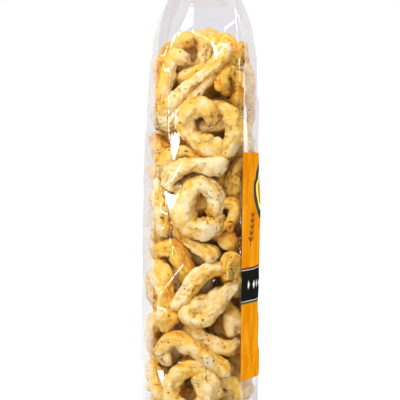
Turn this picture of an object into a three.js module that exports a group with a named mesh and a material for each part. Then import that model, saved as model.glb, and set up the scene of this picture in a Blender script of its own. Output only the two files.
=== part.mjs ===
// A tall clear bag of taralli, sealed flat at the top, with a paper label over its front panel.
// Millimetres, +Z up. The origin is the middle of the flat bottom that the bag stands on. The label
// faces +X, and the narrow side whose folded gusset shows the taralli best faces -Y.
//
// It is a side-gusset bag. Two wide panels, front and back, face +X and -X, and two narrow ones
// join them. Above the contents the wide panels lean together like a gable roof. Each narrow panel
// folds inwards between them: a triangle tips back in its middle, and a flap on each side of it
// doubles back against a wide panel. A flat seal closes the top. Film and contents are one solid
// here: out to the film where a ring of dough presses on it, and sunk between the rings.

import * as THREE from "three";
import { mergeVertices } from "three/addons/utils/BufferGeometryUtils.js";

// Driving dimensions of the bag
const BAG_HEIGHT = 334; // floor to the top of the seal
const SEAL_HEIGHT = 12; // the flat crimped strip
const SEAL_THICKNESS = 1.2;
const WIDE_PANEL = 80; // front and back, crease to crease
const NARROW_PANEL = 60;
const WIDE_BULGE = 11.6; // how far the contents push a wide panel out at the foot
const NARROW_BULGE = 4;
const SHOULDER_HEIGHT = 236; // above this the wide panels start to lean together
const LEAN_HEIGHT = 60; // above this the bag leans forward
const GABLE_LEAN = 4.6; // how far the seal stands forward of the foot's middle
const FOLD_START = 246; // foot of the triangle that tips inwards
const FOLD_APEX = 300; // its tip; above it the two flaps meet
const BOTTOM_ROUND = 7; // height over which the bottom edge is rounded
const BOTTOM_INSET = 3.2; // how far that rounding takes the sides in at the floor

// Curves of the bag
const BULGE_FADE = 4.5; // the higher, the later the wide panels flatten towards the ridge
const LEAN_CURVE = 1.5; // above 1, the lean grows with height
const CLOSE_START = 3.4; // the higher, the later the wide panels come together
const CLOSE_END = 0.85; // below 1, the ridge is blunt
const FLAP_SHARE = 0.15; // the narrowest flap, as a share of half a narrow panel

// The label
const LABEL_BOTTOM = 29;
const LABEL_TOP = 188;
const LABEL_THICKNESS = 0.6;
const LABEL_GAP = 0.35; // between label and film
const LABEL_MARGIN = 0.6; // from the label's side edge to the bag's crease

// The rings of dough that press against the film
const ROPE_HALF = 5.6; // half the thickness of a ring's rope
const HOLLOW_DEPTH = 7; // the deepest hollow between rings
const CREASE_FADE = 9; // the hollows run out over this distance from a crease
const LABEL_FADE = 6; // and from the label's edges
const FILL_TOP = 276; // no ring shows above this
const FILL_FADE = 14; // the hollows run out over this height below it
const LINE_POINTS = 40; // points on a ring's middle line

// Rings on a narrow panel, as the photographed side shows them: the place of the middle, across and
// up, the half lengths of the rope's middle line, its turn in degrees, and how far it lies back
const NARROW_RINGS = [
  { across: -8, up: 260, long: 10, short: 9, turn: 0, back: 0 },
  { across: -5, up: 237, long: 30, short: 3, turn: 49, back: 0 },
  { across: -26, up: 236, long: 20, short: 2, turn: 84, back: 1 },
  { across: 22, up: 240, long: 13, short: 6, turn: 80, back: 2 },
  { across: 5, up: 208, long: 17, short: 14.5, turn: 0, back: 0 },
  { across: -25, up: 181, long: 12, short: 5, turn: 70, back: 2 },
  { across: -5, up: 172, long: 18, short: 6, turn: 8, back: 0 },
  { across: 25, up: 163, long: 14, short: 3, turn: 85, back: 2 },
  { across: 0, up: 147, long: 16, short: 12.5, turn: 80, back: 0 },
  { across: -27, up: 146, long: 15, short: 2, turn: 86, back: 1 },
  { across: -17, up: 115, long: 13, short: 6, turn: -35, back: 0 },
  { across: 12, up: 119, long: 13, short: 2, turn: -12, back: 1 },
  { across: 21, up: 102, long: 9, short: 4, turn: 85, back: 1 },
  { across: 0, up: 92, long: 21, short: 2, turn: 46, back: 1 },
  { across: -25, up: 84, long: 20, short: 2, turn: 84, back: 0 },
  { across: 8, up: 77, long: 17, short: 5, turn: 32, back: 0 },
  { across: 10, up: 58, long: 17, short: 10, turn: -20, back: 1 },
  { across: -4, up: 42, long: 24, short: 4, turn: -24, back: 0 },
  { across: -5, up: 17, long: 15, short: 15, turn: 0, back: 0 },
  { across: 22, up: 20, long: 10, short: 4, turn: 30, back: 1 },
];

// On the wide panels the rings follow a rule: they alternate from side to side on their way up,
// and each is turned further than the last
const WIDE_RING_COUNT = 18;
const WIDE_RING_RISE = 14.6; // from one ring's middle to the next
const WIDE_RING_START = 14; // height of the lowest ring's middle
const WIDE_RING_OFFSET = 18; // from the panel's middle
const WIDE_RING_LONG = 17;
const WIDE_RING_SHORT = [14, 5, 10, 3, 12]; // taken in turn
const WIDE_RING_TURN = 137.5;

// How finely the surfaces are cut
const WIDE_STEPS = 20; // across a wide panel
const TRIANGLE_STEPS = 7; // across half of the triangle in a narrow panel
const BODY_ROW = 4.2; // height of a row of faces
const LABEL_ROW = 8.4; // and on the label, twice that, so that its rows meet the bag's
const BOTTOM_ROWS = [0, 0.08, 0.3, 0.6]; // rows in the rounded edge, as shares of its height

const COLOURS = {
  bag: 0xe2b566,
  label: 0xf0990d,
};

const RIDGE_HEIGHT = BAG_HEIGHT - SEAL_HEIGHT;
const HALF_NARROW = NARROW_PANEL / 2;
const HALF_WIDE = WIDE_PANEL / 2;
// The front reaches this much further because the bag leans. The bag stands back by half of it and
// of the label's depth, so that bag and label together are centred on the origin
const LEAN_REACH = 0.6;
const SET_BACK = (LABEL_GAP + LABEL_THICKNESS + LEAN_REACH) / 2;

const clamp01 = (t) => Math.min(1, Math.max(0, t));
const share = (z, from, to) => clamp01((z - from) / (to - from));

// Half the distance between the front and the back creases
function creaseX(z) {
  const closed = share(z, SHOULDER_HEIGHT, RIDGE_HEIGHT);
  const open = (1 - closed ** CLOSE_START) ** CLOSE_END;
  return SEAL_THICKNESS / 2 + (HALF_NARROW - SEAL_THICKNESS / 2) * open;
}

const wideBulge = (z) => WIDE_BULGE * (1 - share(z, 0, RIDGE_HEIGHT) ** BULGE_FADE);

const narrowBulge = (z) => NARROW_BULGE * (1 - share(z, SHOULDER_HEIGHT, FOLD_APEX) ** 2);

// Half the width of the triangle that tips inwards in a narrow panel
function triangleX(z) {
  const width = HALF_NARROW * (1 - share(z, FOLD_START, FOLD_APEX));
  return Math.min(width, (1 - FLAP_SHARE) * creaseX(z));
}

// How far in the triangle lies: a flap keeps its own width while the creases come together. The
// seal pinches everything flat.
function foldDepth(z) {
  if (z >= RIDGE_HEIGHT) return 0;
  const flap = HALF_NARROW * share(z, FOLD_START, FOLD_APEX);
  const across = creaseX(z) - (HALF_NARROW - flap);
  return Math.sqrt(Math.max(0, flap ** 2 - across ** 2));
}

const middleX = (z) => GABLE_LEAN * share(z, LEAN_HEIGHT, RIDGE_HEIGHT) ** LEAN_CURVE - SET_BACK;

// The bottom edge is rounded by a quarter of an ellipse
function bottomInset(z) {
  const down = 1 - share(z, 0, BOTTOM_ROUND);
  return BOTTOM_INSET * (1 - Math.sqrt(1 - down ** 2));
}

// The middle line of a ring's rope, as points on its panel
function ringLine({ across, up, long, short, turn }) {
  const turned = THREE.MathUtils.degToRad(turn);
  return Array.from({ length: LINE_POINTS }, (_, i) => {
    const angle = (2 * Math.PI * i) / LINE_POINTS;
    const point = new THREE.Vector2(long * Math.cos(angle), short * Math.sin(angle));
    return point.rotateAround(new THREE.Vector2(), turned).add(new THREE.Vector2(across, up));
  });
}

function wideRing(i) {
  return {
    across: i % 2 ? WIDE_RING_OFFSET : -WIDE_RING_OFFSET,
    up: WIDE_RING_START + WIDE_RING_RISE * i,
    long: WIDE_RING_LONG,
    short: WIDE_RING_SHORT[i % WIDE_RING_SHORT.length],
    turn: WIDE_RING_TURN * i,
    back: 0,
  };
}

const withLine = (ring) => ({ back: ring.back, line: ringLine(ring) });
const narrowRings = NARROW_RINGS.map(withLine);
const wideRings = Array.from({ length: WIDE_RING_COUNT }, (_, i) => withLine(wideRing(i)));

// How far the surface lies below a rope's crown, at a distance from its middle line
function ropeDrop(distance) {
  if (distance > ROPE_HALF) return distance;
  return ROPE_HALF - Math.sqrt(ROPE_HALF ** 2 - distance ** 2);
}

// How deep a panel is sunk at a place on it, with the distance to the nearest crease
function hollow(rings, across, up, toCrease) {
  const place = new THREE.Vector2(across, up);
  const drops = rings.map(({ back, line }) => {
    return back + ropeDrop(Math.min(...line.map((point) => point.distanceTo(place))));
  });
  const shown = share(up, 0, BOTTOM_ROUND) * share(FILL_TOP - up, 0, FILL_FADE);
  return Math.min(HOLLOW_DEPTH, ...drops) * share(toCrease, 0, CREASE_FADE) * shown;
}

// The front panel is only sunk clear of the label
function clearOfLabel(z) {
  return share(LABEL_BOTTOM - z, 0, LABEL_FADE) + share(z - LABEL_TOP, 0, LABEL_FADE);
}

// A point of the front panel, u from -1 at one crease to 1 at the other, pushed out by `away`
function frontPoint(u, z, away = 0) {
  const slope = (2 * wideBulge(z) * u) / HALF_WIDE;
  const long = Math.hypot(1, slope);
  return new THREE.Vector3(
    middleX(z) + creaseX(z) + wideBulge(z) * (1 - u * u) - bottomInset(z) + away / long,
    u * (HALF_WIDE - bottomInset(z)) + (away * slope) / long,
    z,
  );
}

// The narrow panel at +Y at one height, from the front crease to the back one. Its line runs down
// the flap to the triangle and across that. The panel at -Y is this one turned round the bag's
// middle, which is why the rings' places are taken from the other side.
function narrowLine(z) {
  const half = [[0, 0]];
  for (let i = 0; i < TRIANGLE_STEPS; i++) half.push([1, i / TRIANGLE_STEPS]);
  const point = (side, flap, triangle) => {
    const edge = creaseX(z) + (triangleX(z) - creaseX(z)) * flap;
    const x = edge * (1 - triangle);
    const bulge = narrowBulge(z) * (1 - (x / creaseX(z)) ** 2);
    const sunk = hollow(narrowRings, -side * x, z, creaseX(z) - x);
    return new THREE.Vector3(
      middleX(z) + side * (x - (x / HALF_NARROW) * bottomInset(z)),
      HALF_WIDE - bottomInset(z) + bulge - foldDepth(z) * flap - sunk,
      z,
    );
  };
  const front = half.map(([flap, triangle]) => point(1, flap, triangle));
  const back = half.slice(1).map(([flap, triangle]) => point(-1, flap, triangle));
  return [...front, point(1, 1, 1), ...back.toReversed()];
}

// The bag's outline at one height, counterclockwise from the front crease at -Y. The back half is
// a front half without a label, turned round the bag's middle.
function outline(z) {
  const across = Array.from({ length: WIDE_STEPS }, (_, i) => (2 * i) / WIDE_STEPS - 1);
  const half = (sunkShare) => {
    const wide = across.map((u) => {
      const sunk = hollow(wideRings, u * HALF_WIDE, z, (1 - Math.abs(u)) * HALF_WIDE);
      return frontPoint(u, z, -sunk * sunkShare);
    });
    return [...wide, ...narrowLine(z)];
  };
  const turned = half(1).map((p) => new THREE.Vector3(2 * middleX(z) - p.x, -p.y, z));
  return [...half(clearOfLabel(z)), ...turned];
}

// The wall of triangles round a stack of rings of equal count
function wallFaces(rings) {
  const count = rings[0].length;
  const faces = [];
  for (let row = 0; row + 1 < rings.length; row++) {
    for (let i = 0; i < count; i++) {
      const a = row * count + i;
      const b = row * count + ((i + 1) % count);
      faces.push(a, b, b + count, a, b + count, a + count);
    }
  }
  return faces;
}

// Closes a flat end of the bag with strips between the front half and the back half of its ring
function endFaces(start, count, up) {
  const faces = [];
  for (let i = 0; i < count / 2 - 1; i++) {
    const a = start + i;
    const far = start + count - 1 - i;
    const quad = [a, a + 1, far - 1, a, far - 1, far];
    faces.push(...(up ? quad : quad.toReversed()));
  }
  return faces;
}

// A closed solid through a stack of rings, bottom first
function loft(rings) {
  const count = rings[0].length;
  const top = (rings.length - 1) * count;
  const faces = [...wallFaces(rings), ...endFaces(0, count, false), ...endFaces(top, count, true)];
  const geometry = new THREE.BufferGeometry().setFromPoints(rings.flat());
  geometry.setIndex(faces);
  const solid = mergeVertices(geometry, 1e-4);
  solid.computeVertexNormals();
  return solid;
}

// Heights from one level up to another, in even rows of about the given size, the last left out
function rows(from, to, size) {
  const count = Math.ceil((to - from) / size);
  return Array.from({ length: count }, (_, i) => from + ((to - from) * i) / count);
}

function bagGeometry() {
  const levels = [
    ...BOTTOM_ROWS.map((part) => part * BOTTOM_ROUND),
    ...rows(BOTTOM_ROUND, LABEL_BOTTOM, BODY_ROW),
    ...rows(LABEL_BOTTOM, LABEL_TOP, BODY_ROW),
    ...rows(LABEL_TOP, SHOULDER_HEIGHT, BODY_ROW),
    ...rows(SHOULDER_HEIGHT, RIDGE_HEIGHT, BODY_ROW),
    RIDGE_HEIGHT,
    BAG_HEIGHT,
  ];
  return loft(levels.map(outline));
}

// The label is a thin sheet that follows the front panel, with the same columns
function labelGeometry() {
  const reach = 1 - LABEL_MARGIN / HALF_WIDE;
  const across = Array.from({ length: WIDE_STEPS + 1 }, (_, i) => {
    const u = (2 * i) / WIDE_STEPS - 1;
    return Math.max(-reach, Math.min(reach, u));
  });
  const levels = [...rows(LABEL_BOTTOM, LABEL_TOP, LABEL_ROW), LABEL_TOP];
  const rings = levels.map((z) => [
    ...across.map((u) => frontPoint(u, z, LABEL_GAP + LABEL_THICKNESS)),
    ...across.toReversed().map((u) => frontPoint(u, z, LABEL_GAP)),
  ]);
  return loft(rings);
}

function piece(name, geometry, roughness) {
  const material = new THREE.MeshStandardMaterial({ color: COLOURS[name], roughness, metalness: 0 });
  const mesh = new THREE.Mesh(geometry, material);
  mesh.name = name;
  return mesh;
}

const bagOfTaralli = new THREE.Group();
bagOfTaralli.add(piece("bag", bagGeometry(), 0.35), piece("label", labelGeometry(), 0.3));

export default bagOfTaralli;
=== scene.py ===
"""A clear gusset bag of taralli with a paper label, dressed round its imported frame.

Run as a script. Each piece of the bag is an operator, and the panel lists them in the order in
which they are made. Sizes in the code are millimetres, and Blender's meshes and properties are in
metres. The bag stands on z = 0, its label faces +X, and the narrow side that shows the taralli
best faces -Y.
"""
import math

import bpy
import numpy as np
from bpy.props import FloatProperty, FloatVectorProperty, IntProperty, PointerProperty
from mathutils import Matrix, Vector


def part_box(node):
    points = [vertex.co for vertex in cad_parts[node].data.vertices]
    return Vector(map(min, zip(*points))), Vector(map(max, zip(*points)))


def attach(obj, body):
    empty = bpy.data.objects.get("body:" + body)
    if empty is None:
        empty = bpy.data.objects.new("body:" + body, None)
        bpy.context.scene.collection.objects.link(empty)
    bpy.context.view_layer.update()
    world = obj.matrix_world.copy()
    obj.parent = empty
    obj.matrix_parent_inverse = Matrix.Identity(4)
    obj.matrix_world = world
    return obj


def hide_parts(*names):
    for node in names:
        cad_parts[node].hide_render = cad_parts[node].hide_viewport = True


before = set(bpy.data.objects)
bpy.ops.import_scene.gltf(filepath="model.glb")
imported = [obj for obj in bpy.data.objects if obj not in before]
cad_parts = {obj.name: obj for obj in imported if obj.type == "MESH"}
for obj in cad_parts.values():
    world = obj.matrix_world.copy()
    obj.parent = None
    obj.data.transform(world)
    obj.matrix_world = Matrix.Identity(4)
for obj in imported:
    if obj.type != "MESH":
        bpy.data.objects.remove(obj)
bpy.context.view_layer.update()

bl_info = {
    "name": "Bag of taralli",
    "version": (1, 0, 0),
    "blender": (4, 5, 0),
    "location": "3D View > Sidebar > Taralli",
    "description": "Makes the taralli, the clear bag with its seal, and the label",
    "category": "Object",
}

MM = 0.001
BODY = "root"
BAG_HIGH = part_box("bag")[1]
LABEL_LOW, LABEL_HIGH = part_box("label")

# The bag's form, as in the frame, which gives the heights
BAG_HEIGHT = BAG_HIGH.z / MM
SEAL_HEIGHT = 12
SEAL_THICKNESS = 1.2
RIDGE_HEIGHT = BAG_HEIGHT - SEAL_HEIGHT
HALF_WIDE = 40  # half of the front or back panel, crease to middle
HALF_NARROW = 30
WIDE_BULGE = 11.6
NARROW_BULGE = 4
SHOULDER_HEIGHT = 236
LEAN_HEIGHT = 60
GABLE_LEAN = 4.6
LEAN_CURVE = 1.5
FOLD_START = 246
FOLD_APEX = 300
FOLD_SOFT = 4  # above and below the apex, where the near panel turns from tipped to folded
BOTTOM_ROUND = 7
BOTTOM_INSET = 3.2
BULGE_FADE = 4.5
CLOSE_START = 3.4
CLOSE_END = 0.85
FLAP_SHARE = 0.15
SET_BACK = 0.775
LABEL_BOTTOM = LABEL_LOW.z / MM
LABEL_TOP = LABEL_HIGH.z / MM
LABEL_MARGIN = 0.6

# The near panel's gable: a triangle that tips in, off the panel's middle
APEX_SHIFT = -8  # how far right of its middle the near panel's fold lies
APEX_WIDTH = 1.2  # half width that the tipped triangle keeps at its tip
TIP_SLOPE = 0.45  # how steeply the triangle tips in
TIP_START = 254
# The right edge of what tips in: heights, and how far right of the bag's middle it lies there
TIP_EDGE_HEIGHTS = (254, 264, 270.4, 272.5, 291, 300)
TIP_EDGE_RIGHTS = (11.5, 8.5, -3.5, -6.6, -6.8, -8)
TIP_EDGE_SLOPE = 0.36  # how steeply the film comes out again to the right of that edge
RIGHT_FLAP = 5  # width beside the right crease in which it comes out all the way

# The camera: level with the upper part of the bag, a metre in front of its narrow side and a
# little to the right
CAMERA_AWAY = 1000
CAMERA_RIGHT = 55
CAMERA_HEIGHT = 179.2
AIM_RIGHT = -0.7
AIM_HEIGHT = 154
LENS = 125
SENSOR = 36


# ---------------------------------------------------------------- the bag's form


def share(z, low, high):
    """Where values lie between two limits, from 0 to 1."""
    return np.clip((z - low) / (high - low), 0, 1)


def smooth(t):
    """A soft step from 0 to 1."""
    t = np.clip(t, 0, 1)
    return t * t * (3 - 2 * t)


def crease_x(z):
    """Half the distance between the front and the back creases."""
    opened = (1 - share(z, SHOULDER_HEIGHT, RIDGE_HEIGHT) ** CLOSE_START) ** CLOSE_END
    return SEAL_THICKNESS / 2 + (HALF_NARROW - SEAL_THICKNESS / 2) * opened


def wide_bulge(z):
    """How far a wide panel swells out along its middle."""
    return WIDE_BULGE * (1 - share(z, 0, RIDGE_HEIGHT) ** BULGE_FADE)


def narrow_bulge(z):
    """How far a narrow panel swells out along its middle."""
    return NARROW_BULGE * (1 - share(z, SHOULDER_HEIGHT, FOLD_APEX) ** 2)


def triangle_x(z):
    """Half the width of the triangle that tips inwards in a narrow panel."""
    width = HALF_NARROW * (1 - share(z, FOLD_START, FOLD_APEX))
    return np.minimum(width, (1 - FLAP_SHARE) * crease_x(z))


def fold_depth(z):
    """How deep a narrow panel's triangle is folded in, as its flaps keep their width."""
    flap = HALF_NARROW * share(z, FOLD_START, FOLD_APEX)
    across = crease_x(z) - (HALF_NARROW - flap)
    depth = np.sqrt(np.maximum(0, flap**2 - across**2))
    return np.where(z >= RIDGE_HEIGHT, 0, depth)


def apex_shift(z):
    """How far the near panel's triangle lies off its middle."""
    return APEX_SHIFT * share(z, FOLD_START, FOLD_APEX) * (1 - share(z, FOLD_APEX, RIDGE_HEIGHT))


def tipped_in(x, z):
    """How deep the near panel's triangle has tipped in, at places right of the panel's middle."""
    tip = TIP_SLOPE * np.maximum(0, z - TIP_START)
    half = np.maximum(triangle_x(z), APEX_WIDTH)
    edge = crease_x(z)
    left = tip * share(x, -edge, np.maximum(apex_shift(z) - half, 0.01 - edge))
    past = x - np.interp(z, TIP_EDGE_HEIGHTS, TIP_EDGE_RIGHTS)
    right = np.maximum(0, tip - TIP_EDGE_SLOPE * past) * share(x, edge, edge - RIGHT_FLAP)
    return np.where(past > 0, right, left) * (1 - folded_share(z))


def folded_share(z):
    """0 where the near panel's triangle only tips, 1 where it is folded in."""
    return smooth(share(z, FOLD_APEX - FOLD_SOFT, FOLD_APEX + FOLD_SOFT))


def middle_x(z):
    """How far right the bag's middle lies: its top leans that way."""
    return GABLE_LEAN * share(z, LEAN_HEIGHT, RIDGE_HEIGHT) ** LEAN_CURVE - SET_BACK


def bottom_inset(z):
    """How far the panels curve in at the foot."""
    down = 1 - share(z, 0, BOTTOM_ROUND)
    return BOTTOM_INSET * (1 - np.sqrt(1 - down**2))


# ---------------------------------------------------------------- ropes of dough

# The taralli that show through the narrow side. Each is the middle line of its rope, as points
# (right of the bag's middle, above the floor, behind the bag's middle, half thickness) in mm. The
# first two are what the camera sees in the plane of the bag's middle.
# Rings that show whole, from one end of the rope to the other:
WHOLE_RINGS = (
    # At the top, its ends crossed on the left
    ((-7.5, 271, -33, 5), (-0.5, 271.5, -34, 5.3), (4, 264, -35, 5.3), (3, 255.5, -33, 5.3),
     (-3, 250, -30, 5.2), (-12, 250.5, -29, 5.2), (-17, 257, -31, 5.4), (-17.5, 264, -35, 5.6),
     (-13.5, 270.5, -38, 5.8), (-8.5, 270.5, -38, 5.2)),
    # A ring pulled long, with both strands side by side
    ((17, 262, -35, 5.6), (13.5, 254, -36, 5.4), (6, 247, -36, 4.7), (-2.5, 241, -36, 4.4),
     (-11, 234.5, -36, 4.4), (-19, 226.5, -36, 4.6), (-26, 218, -36, 4.8), (-27.5, 212.5, -35, 4.8),
     (-23.5, 209.5, -34, 4.7), (-17.5, 214.5, -34, 4.6), (-12, 221.5, -33, 4.5),
     (-5.5, 229, -33, 4.4), (0.5, 235.5, -33, 4.5), (4.5, 241, -33, 4.5), (8.5, 247.5, -32, 4.2)),
    # The upper round ring, one end curled in
    ((6.5, 213.5, -37.5, 5.8), (4.5, 219.5, -38.5, 6.4), (-2.5, 222.5, -38.5, 6.8),
     (-9.5, 218, -37.5, 7), (-12, 210, -36, 6.6), (-8.5, 202, -36, 6.4), (-0.5, 196.5, -37.5, 7),
     (8, 192.5, -37.5, 7.2), (16.5, 192, -36, 6.8), (22.5, 198.5, -35.5, 6.4),
     (23, 207.5, -35, 6.3), (20, 216.5, -32.5, 6.2), (13.5, 221.5, -29, 6), (7, 221, -24, 5.6)),
    # One behind it, to its right
    ((4, 224, -26, 4.8), (14, 224.5, -26, 4.8), (22, 219.5, -26, 4.8), (25.5, 211, -26, 5),
     (25, 199.5, -25, 5), (20.5, 190, -24, 4.8), (10.5, 187, -22, 4.8), (1, 191.5, -20, 4.8),
     (-3, 201.5, -20, 4.8), (-0.5, 214.5, -22, 4.8)),
    # The pale strand across the middle
    ((15, 178.5, -36, 6.2), (5, 179, -37, 6), (-6, 179, -38, 6), (-15.5, 177, -38, 5.9),
     (-22, 172, -36, 5.8), (-23.5, 166, -32, 5.4), (-17.5, 163.5, -28, 5.2), (-9, 165.5, -25, 5),
     (-0.5, 168.5, -22, 5)),
    # The fattest ring, in the middle
    ((10.5, 146, -36, 6.6), (11.5, 153, -37, 6.6), (7.5, 160.5, -37, 6.7), (-1, 164, -36, 7),
     (-8.5, 158.5, -36, 7.6), (-12, 149.5, -35, 8.2), (-12, 142, -35, 8.4), (-7, 134.5, -35, 8.4),
     (1, 132.5, -35, 8.2), (8.5, 134.5, -34, 7.6), (13.5, 139.5, -31, 6.6)),
    # The leaf-shaped one below
    ((24, 91.5, -30, 4.6), (17, 84, -33, 6), (9.5, 76, -35, 6.8), (3, 68.5, -35, 6.8),
     (-4.5, 68.5, -35, 6.4), (-7.5, 74, -35, 6.2), (-1, 78.5, -33, 6.2), (7, 82, -30, 5.4),
     (15, 88, -26, 5)),
    # A ring under it
    ((27, 49, -32, 5.2), (18.5, 46, -35, 6.2), (8.5, 49, -35, 6.2), (-0.5, 54, -34, 6),
     (-7, 62, -32, 5.8), (-7.5, 70.5, -25, 5.4), (-0.5, 76, -22, 5.4), (9.5, 77.5, -22, 5.4),
     (19.5, 75, -27, 6.4), (23, 67, -30, 8), (23.5, 59, -31, 7)),
    # The lowest ring, one end curled in
    ((-0.5, 24.5, -38, 5), (4, 17, -38, 6), (4.5, 8.5, -37, 6.2), (-1, 2, -36, 6.2),
     (-10.5, 1.5, -36, 6.2), (-18.5, 8.5, -36, 6.6), (-20.5, 19.5, -36, 6.8), (-15.5, 28, -36, 6.6),
     (-7, 32.5, -36, 6.5), (2.5, 30, -35, 6.2), (9, 23, -34, 6), (12, 13.5, -32, 5.6)),
)
# Rings that stand edge-on. Only the near side is listed, clockwise from above where the far side
# joins on, and the far side is worked out:
EDGE_ON_RINGS = (
    # Top, left to right
    ((-27.5, 258.5, -22, 4.8), (-27.5, 264, -24, 5.2), (-22, 265.5, -22, 5)),
    ((-30, 211.5, -28, 5.2), (-28.5, 226, -32, 5.3), (-26.5, 240.5, -33, 5.3), (-24, 251, -33, 5),
     (-20.5, 257.5, -33, 4.8), (-14, 255, -33, 5)),
    ((2, 249.5, -28, 5), (-7, 246, -30, 5.6), (-14, 243.5, -30, 5.6)),
    ((-11, 262, -18, 5.6), (-3.5, 257, -18, 6.2)),
    ((-2.5, 269, -16, 4.6), (4, 274.5, -16, 4.8), (9.5, 269, -16, 4.8), (12, 262, -14, 4.8)),
    ((9.5, 267, -20, 5.2), (17.5, 267, -22, 6.6), (22, 261, -24, 7.4), (22.5, 252.5, -24, 6.6)),
    ((29, 262, -6, 4.6), (30, 254, -6, 4.6)),
    ((27, 226.5, -22, 4.8), (28.5, 237, -26, 4.8), (25.5, 245.5, -28, 4.6), (19, 248.5, -31, 4.4),
     (15, 243.5, -33, 4.6), (16, 237.5, -34.5, 5.2)),
    ((15.5, 230.5, -22, 4.4), (15, 221.5, -20, 4.4)),
    ((33.5, 248.5, -8, 4.8), (35, 237, -12, 5.2), (35.5, 224.5, -14, 5.4), (34, 213, -14, 5.4),
     (33, 206, -12, 5)),
    # Above the middle
    ((-29, 213, -22, 5.2), (-25.5, 203.5, -26, 5.4), (-20, 198, -27, 5.6), (-11, 196, -27, 5.4),
     (-2.5, 193, -24, 5.2)),
    ((-34, 173.5, -14, 5), (-28.5, 178, -17, 5.8), (-24, 183, -18, 5.6), (-27.5, 188.5, -17, 5.4),
     (-33, 188.5, -13, 5)),
    ((27.5, 178.5, -22, 5.2), (24, 170.5, -26, 5.8), (23, 161, -26, 5.8), (25.5, 152.5, -22, 5)),
    ((18.5, 152, -24, 4.6), (25, 149, -26, 4.8), (25.5, 141, -26, 4.6), (21, 135.5, -24, 4.6)),
    ((13.5, 131, -20, 5.6), (20, 126, -25, 6.8), (25, 121.5, -25, 5.8)),
    ((-29, 165.5, -24, 4), (-29, 154, -30, 5.2), (-27.5, 143, -32, 5.6), (-25.5, 132.5, -32, 5)),
    ((-32, 161, -8, 4.8), (-32, 149.5, -10, 5), (-33, 138, -8, 5), (-33, 126.5, -8, 4.8)),
    # Below the middle
    ((-32, 120, -12, 5.4), (-34, 112, -10, 5.4), (-31.5, 103.5, -8, 5)),
    ((-17.5, 134, -28, 4.2), (-13.5, 126.5, -30, 4.2), (-6, 121, -32, 4.4), (1, 118, -34, 5.4),
     (7.5, 114, -36, 7.6)),
    ((-29, 117.5, -30, 4.4), (-24, 118.5, -35, 5.8), (-17.5, 117.5, -37, 6.8),
     (-12.5, 109.5, -37, 7.2), (-9.5, 101.5, -36, 7), (-9.5, 95.5, -34, 5.6)),
    ((-29.5, 106, -28, 6), (-27.5, 96.5, -32, 7.6), (-25.5, 86.5, -33, 5.8), (-24, 77, -33, 6.8),
     (-24, 68.5, -33, 7.4), (-25, 62, -31, 4.8)),
    ((15.5, 106, -29, 5.4), (7, 103, -33, 6.2), (-2, 97, -35, 6.2), (-9.5, 88, -35, 6.2),
     (-16.5, 78, -34, 6)),
    ((25.5, 90.5, -22, 5), (25.5, 99.5, -24, 5), (25, 108.5, -27, 5), (20.5, 113, -30, 4.8),
     (17, 108.5, -31, 4.8), (18.5, 100.5, -31, 4.6)),
    ((25.5, 86.5, -12, 5), (27.5, 77.5, -14, 5)),
    ((-25, 38, -30, 5), (-26.5, 45.5, -33, 5.8), (-22, 51, -35, 6.2), (-15, 52, -36, 6.4),
     (-6, 47.5, -36, 6.4), (2.5, 41, -36, 6.4), (11, 35, -35, 6.2), (18.5, 29.5, -34, 6)),
    ((-25, 57.5, -22, 5), (-32, 52.5, -20, 5.2), (-35, 43, -16, 5.4), (-35, 31.5, -14, 5.2)),
    ((-26.5, 28.5, -14, 5), (-33, 24.5, -17, 5), (-35.5, 18, -20, 5)),
    ((13.5, 21.5, -30, 5.2), (20.5, 26, -31, 6), (25.5, 30, -28, 5)),
    ((17.5, 13.5, -24, 4.6), (26.5, 15, -25, 4.8), (33.5, 17, -18, 4.6)),
    ((37, 22, -2, 4.6), (38, 11.5, -2, 4.6)),
)

# How pale each of the whole rings is, 0 to 1
WHOLE_TONES = (0.15, 0.6, 0.45, 0.35, 0.8, 0.55, 0.6, 0.3, 0.4)

RING_LENGTH = 108  # of the rope in a ring, end to end
END_STEPS = 7  # rings of faces in a rope's rounded end
END_POWER = 2.5  # above 2, an end is blunter than round
END_REACH = 0.72  # how far the end goes past the last point, in half thicknesses
SWELLS = (26, 14, 8)  # lengths of the waves in a rope's thickness
SWELL = 0.03  # their size, as a share of the thickness
CLEARANCE = 1.2  # between a rope and the film's smooth form
PRESSED_GAP = 0.1  # between that form and the flattest dough
BEND_REACH = 5  # along a rope, over which it bends away from the film
BEND_PASSES = 3
FILL_HEIGHT = 280  # no rope reaches higher
FAR_SIDE_DEPTHS = (12, 24)  # least and most that an edge-on ring reaches back
FAR_SIDE_THICK = 5
# The far points of an edge-on ring: what share of the depth they lie back, and how far out
FAR_SIDE_LAST = ((0.62, -1), (1, 3))
FAR_SIDE_MIDDLE = (1.08, 0)
FAR_SIDE_FIRST = ((1, -2.5), (0.5, 0))

# Loose rings, which aren't listed above, as ranges that they are drawn from
LOOSE_HALF_WIDTHS = (12.5, 15.5)
LOOSE_STRETCHES = (1.0, 1.0, 1.12, 1.3)
LOOSE_THICKNESSES = (4.8, 5.9)
LOOSE_OVERLAPS = (0.35, 0.9)  # of their ends, as an angle
LOOSE_LIFT = 0.72  # of the thickness, by which each crossed end rises or sinks
# Loose rings lie further in: their tones come from the lower, browner end, as painted shade for the inside
# of the bag
LOOSE_TONES = (0, 0.55)
LOOSE_KNOTS = 12
LOOSE_ROOM = ((-33, 33), (-28, 34), (14, 245))  # where their middles may be
LOOSE_TRIES = (60, 120, 240)  # places tried for each, in the three rounds of adding them
LAST_RINGS = 5  # how many the last round adds, for the gaps that are left
WALL_WEIGHT = 1.5  # how much sticking out of the film counts against a place
GAP_WEIGHT = 3.5  # how much closing a gap in the view counts for it
VIEW_ACROSS, VIEW_UP = (-37, 38), (4, 268)  # where gaps are looked for
SPOT_STEP = 2.5  # between the spots at which they are
SPOT_MARGIN = 0.8  # a ball closes a spot only when it reaches this far past it

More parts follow.
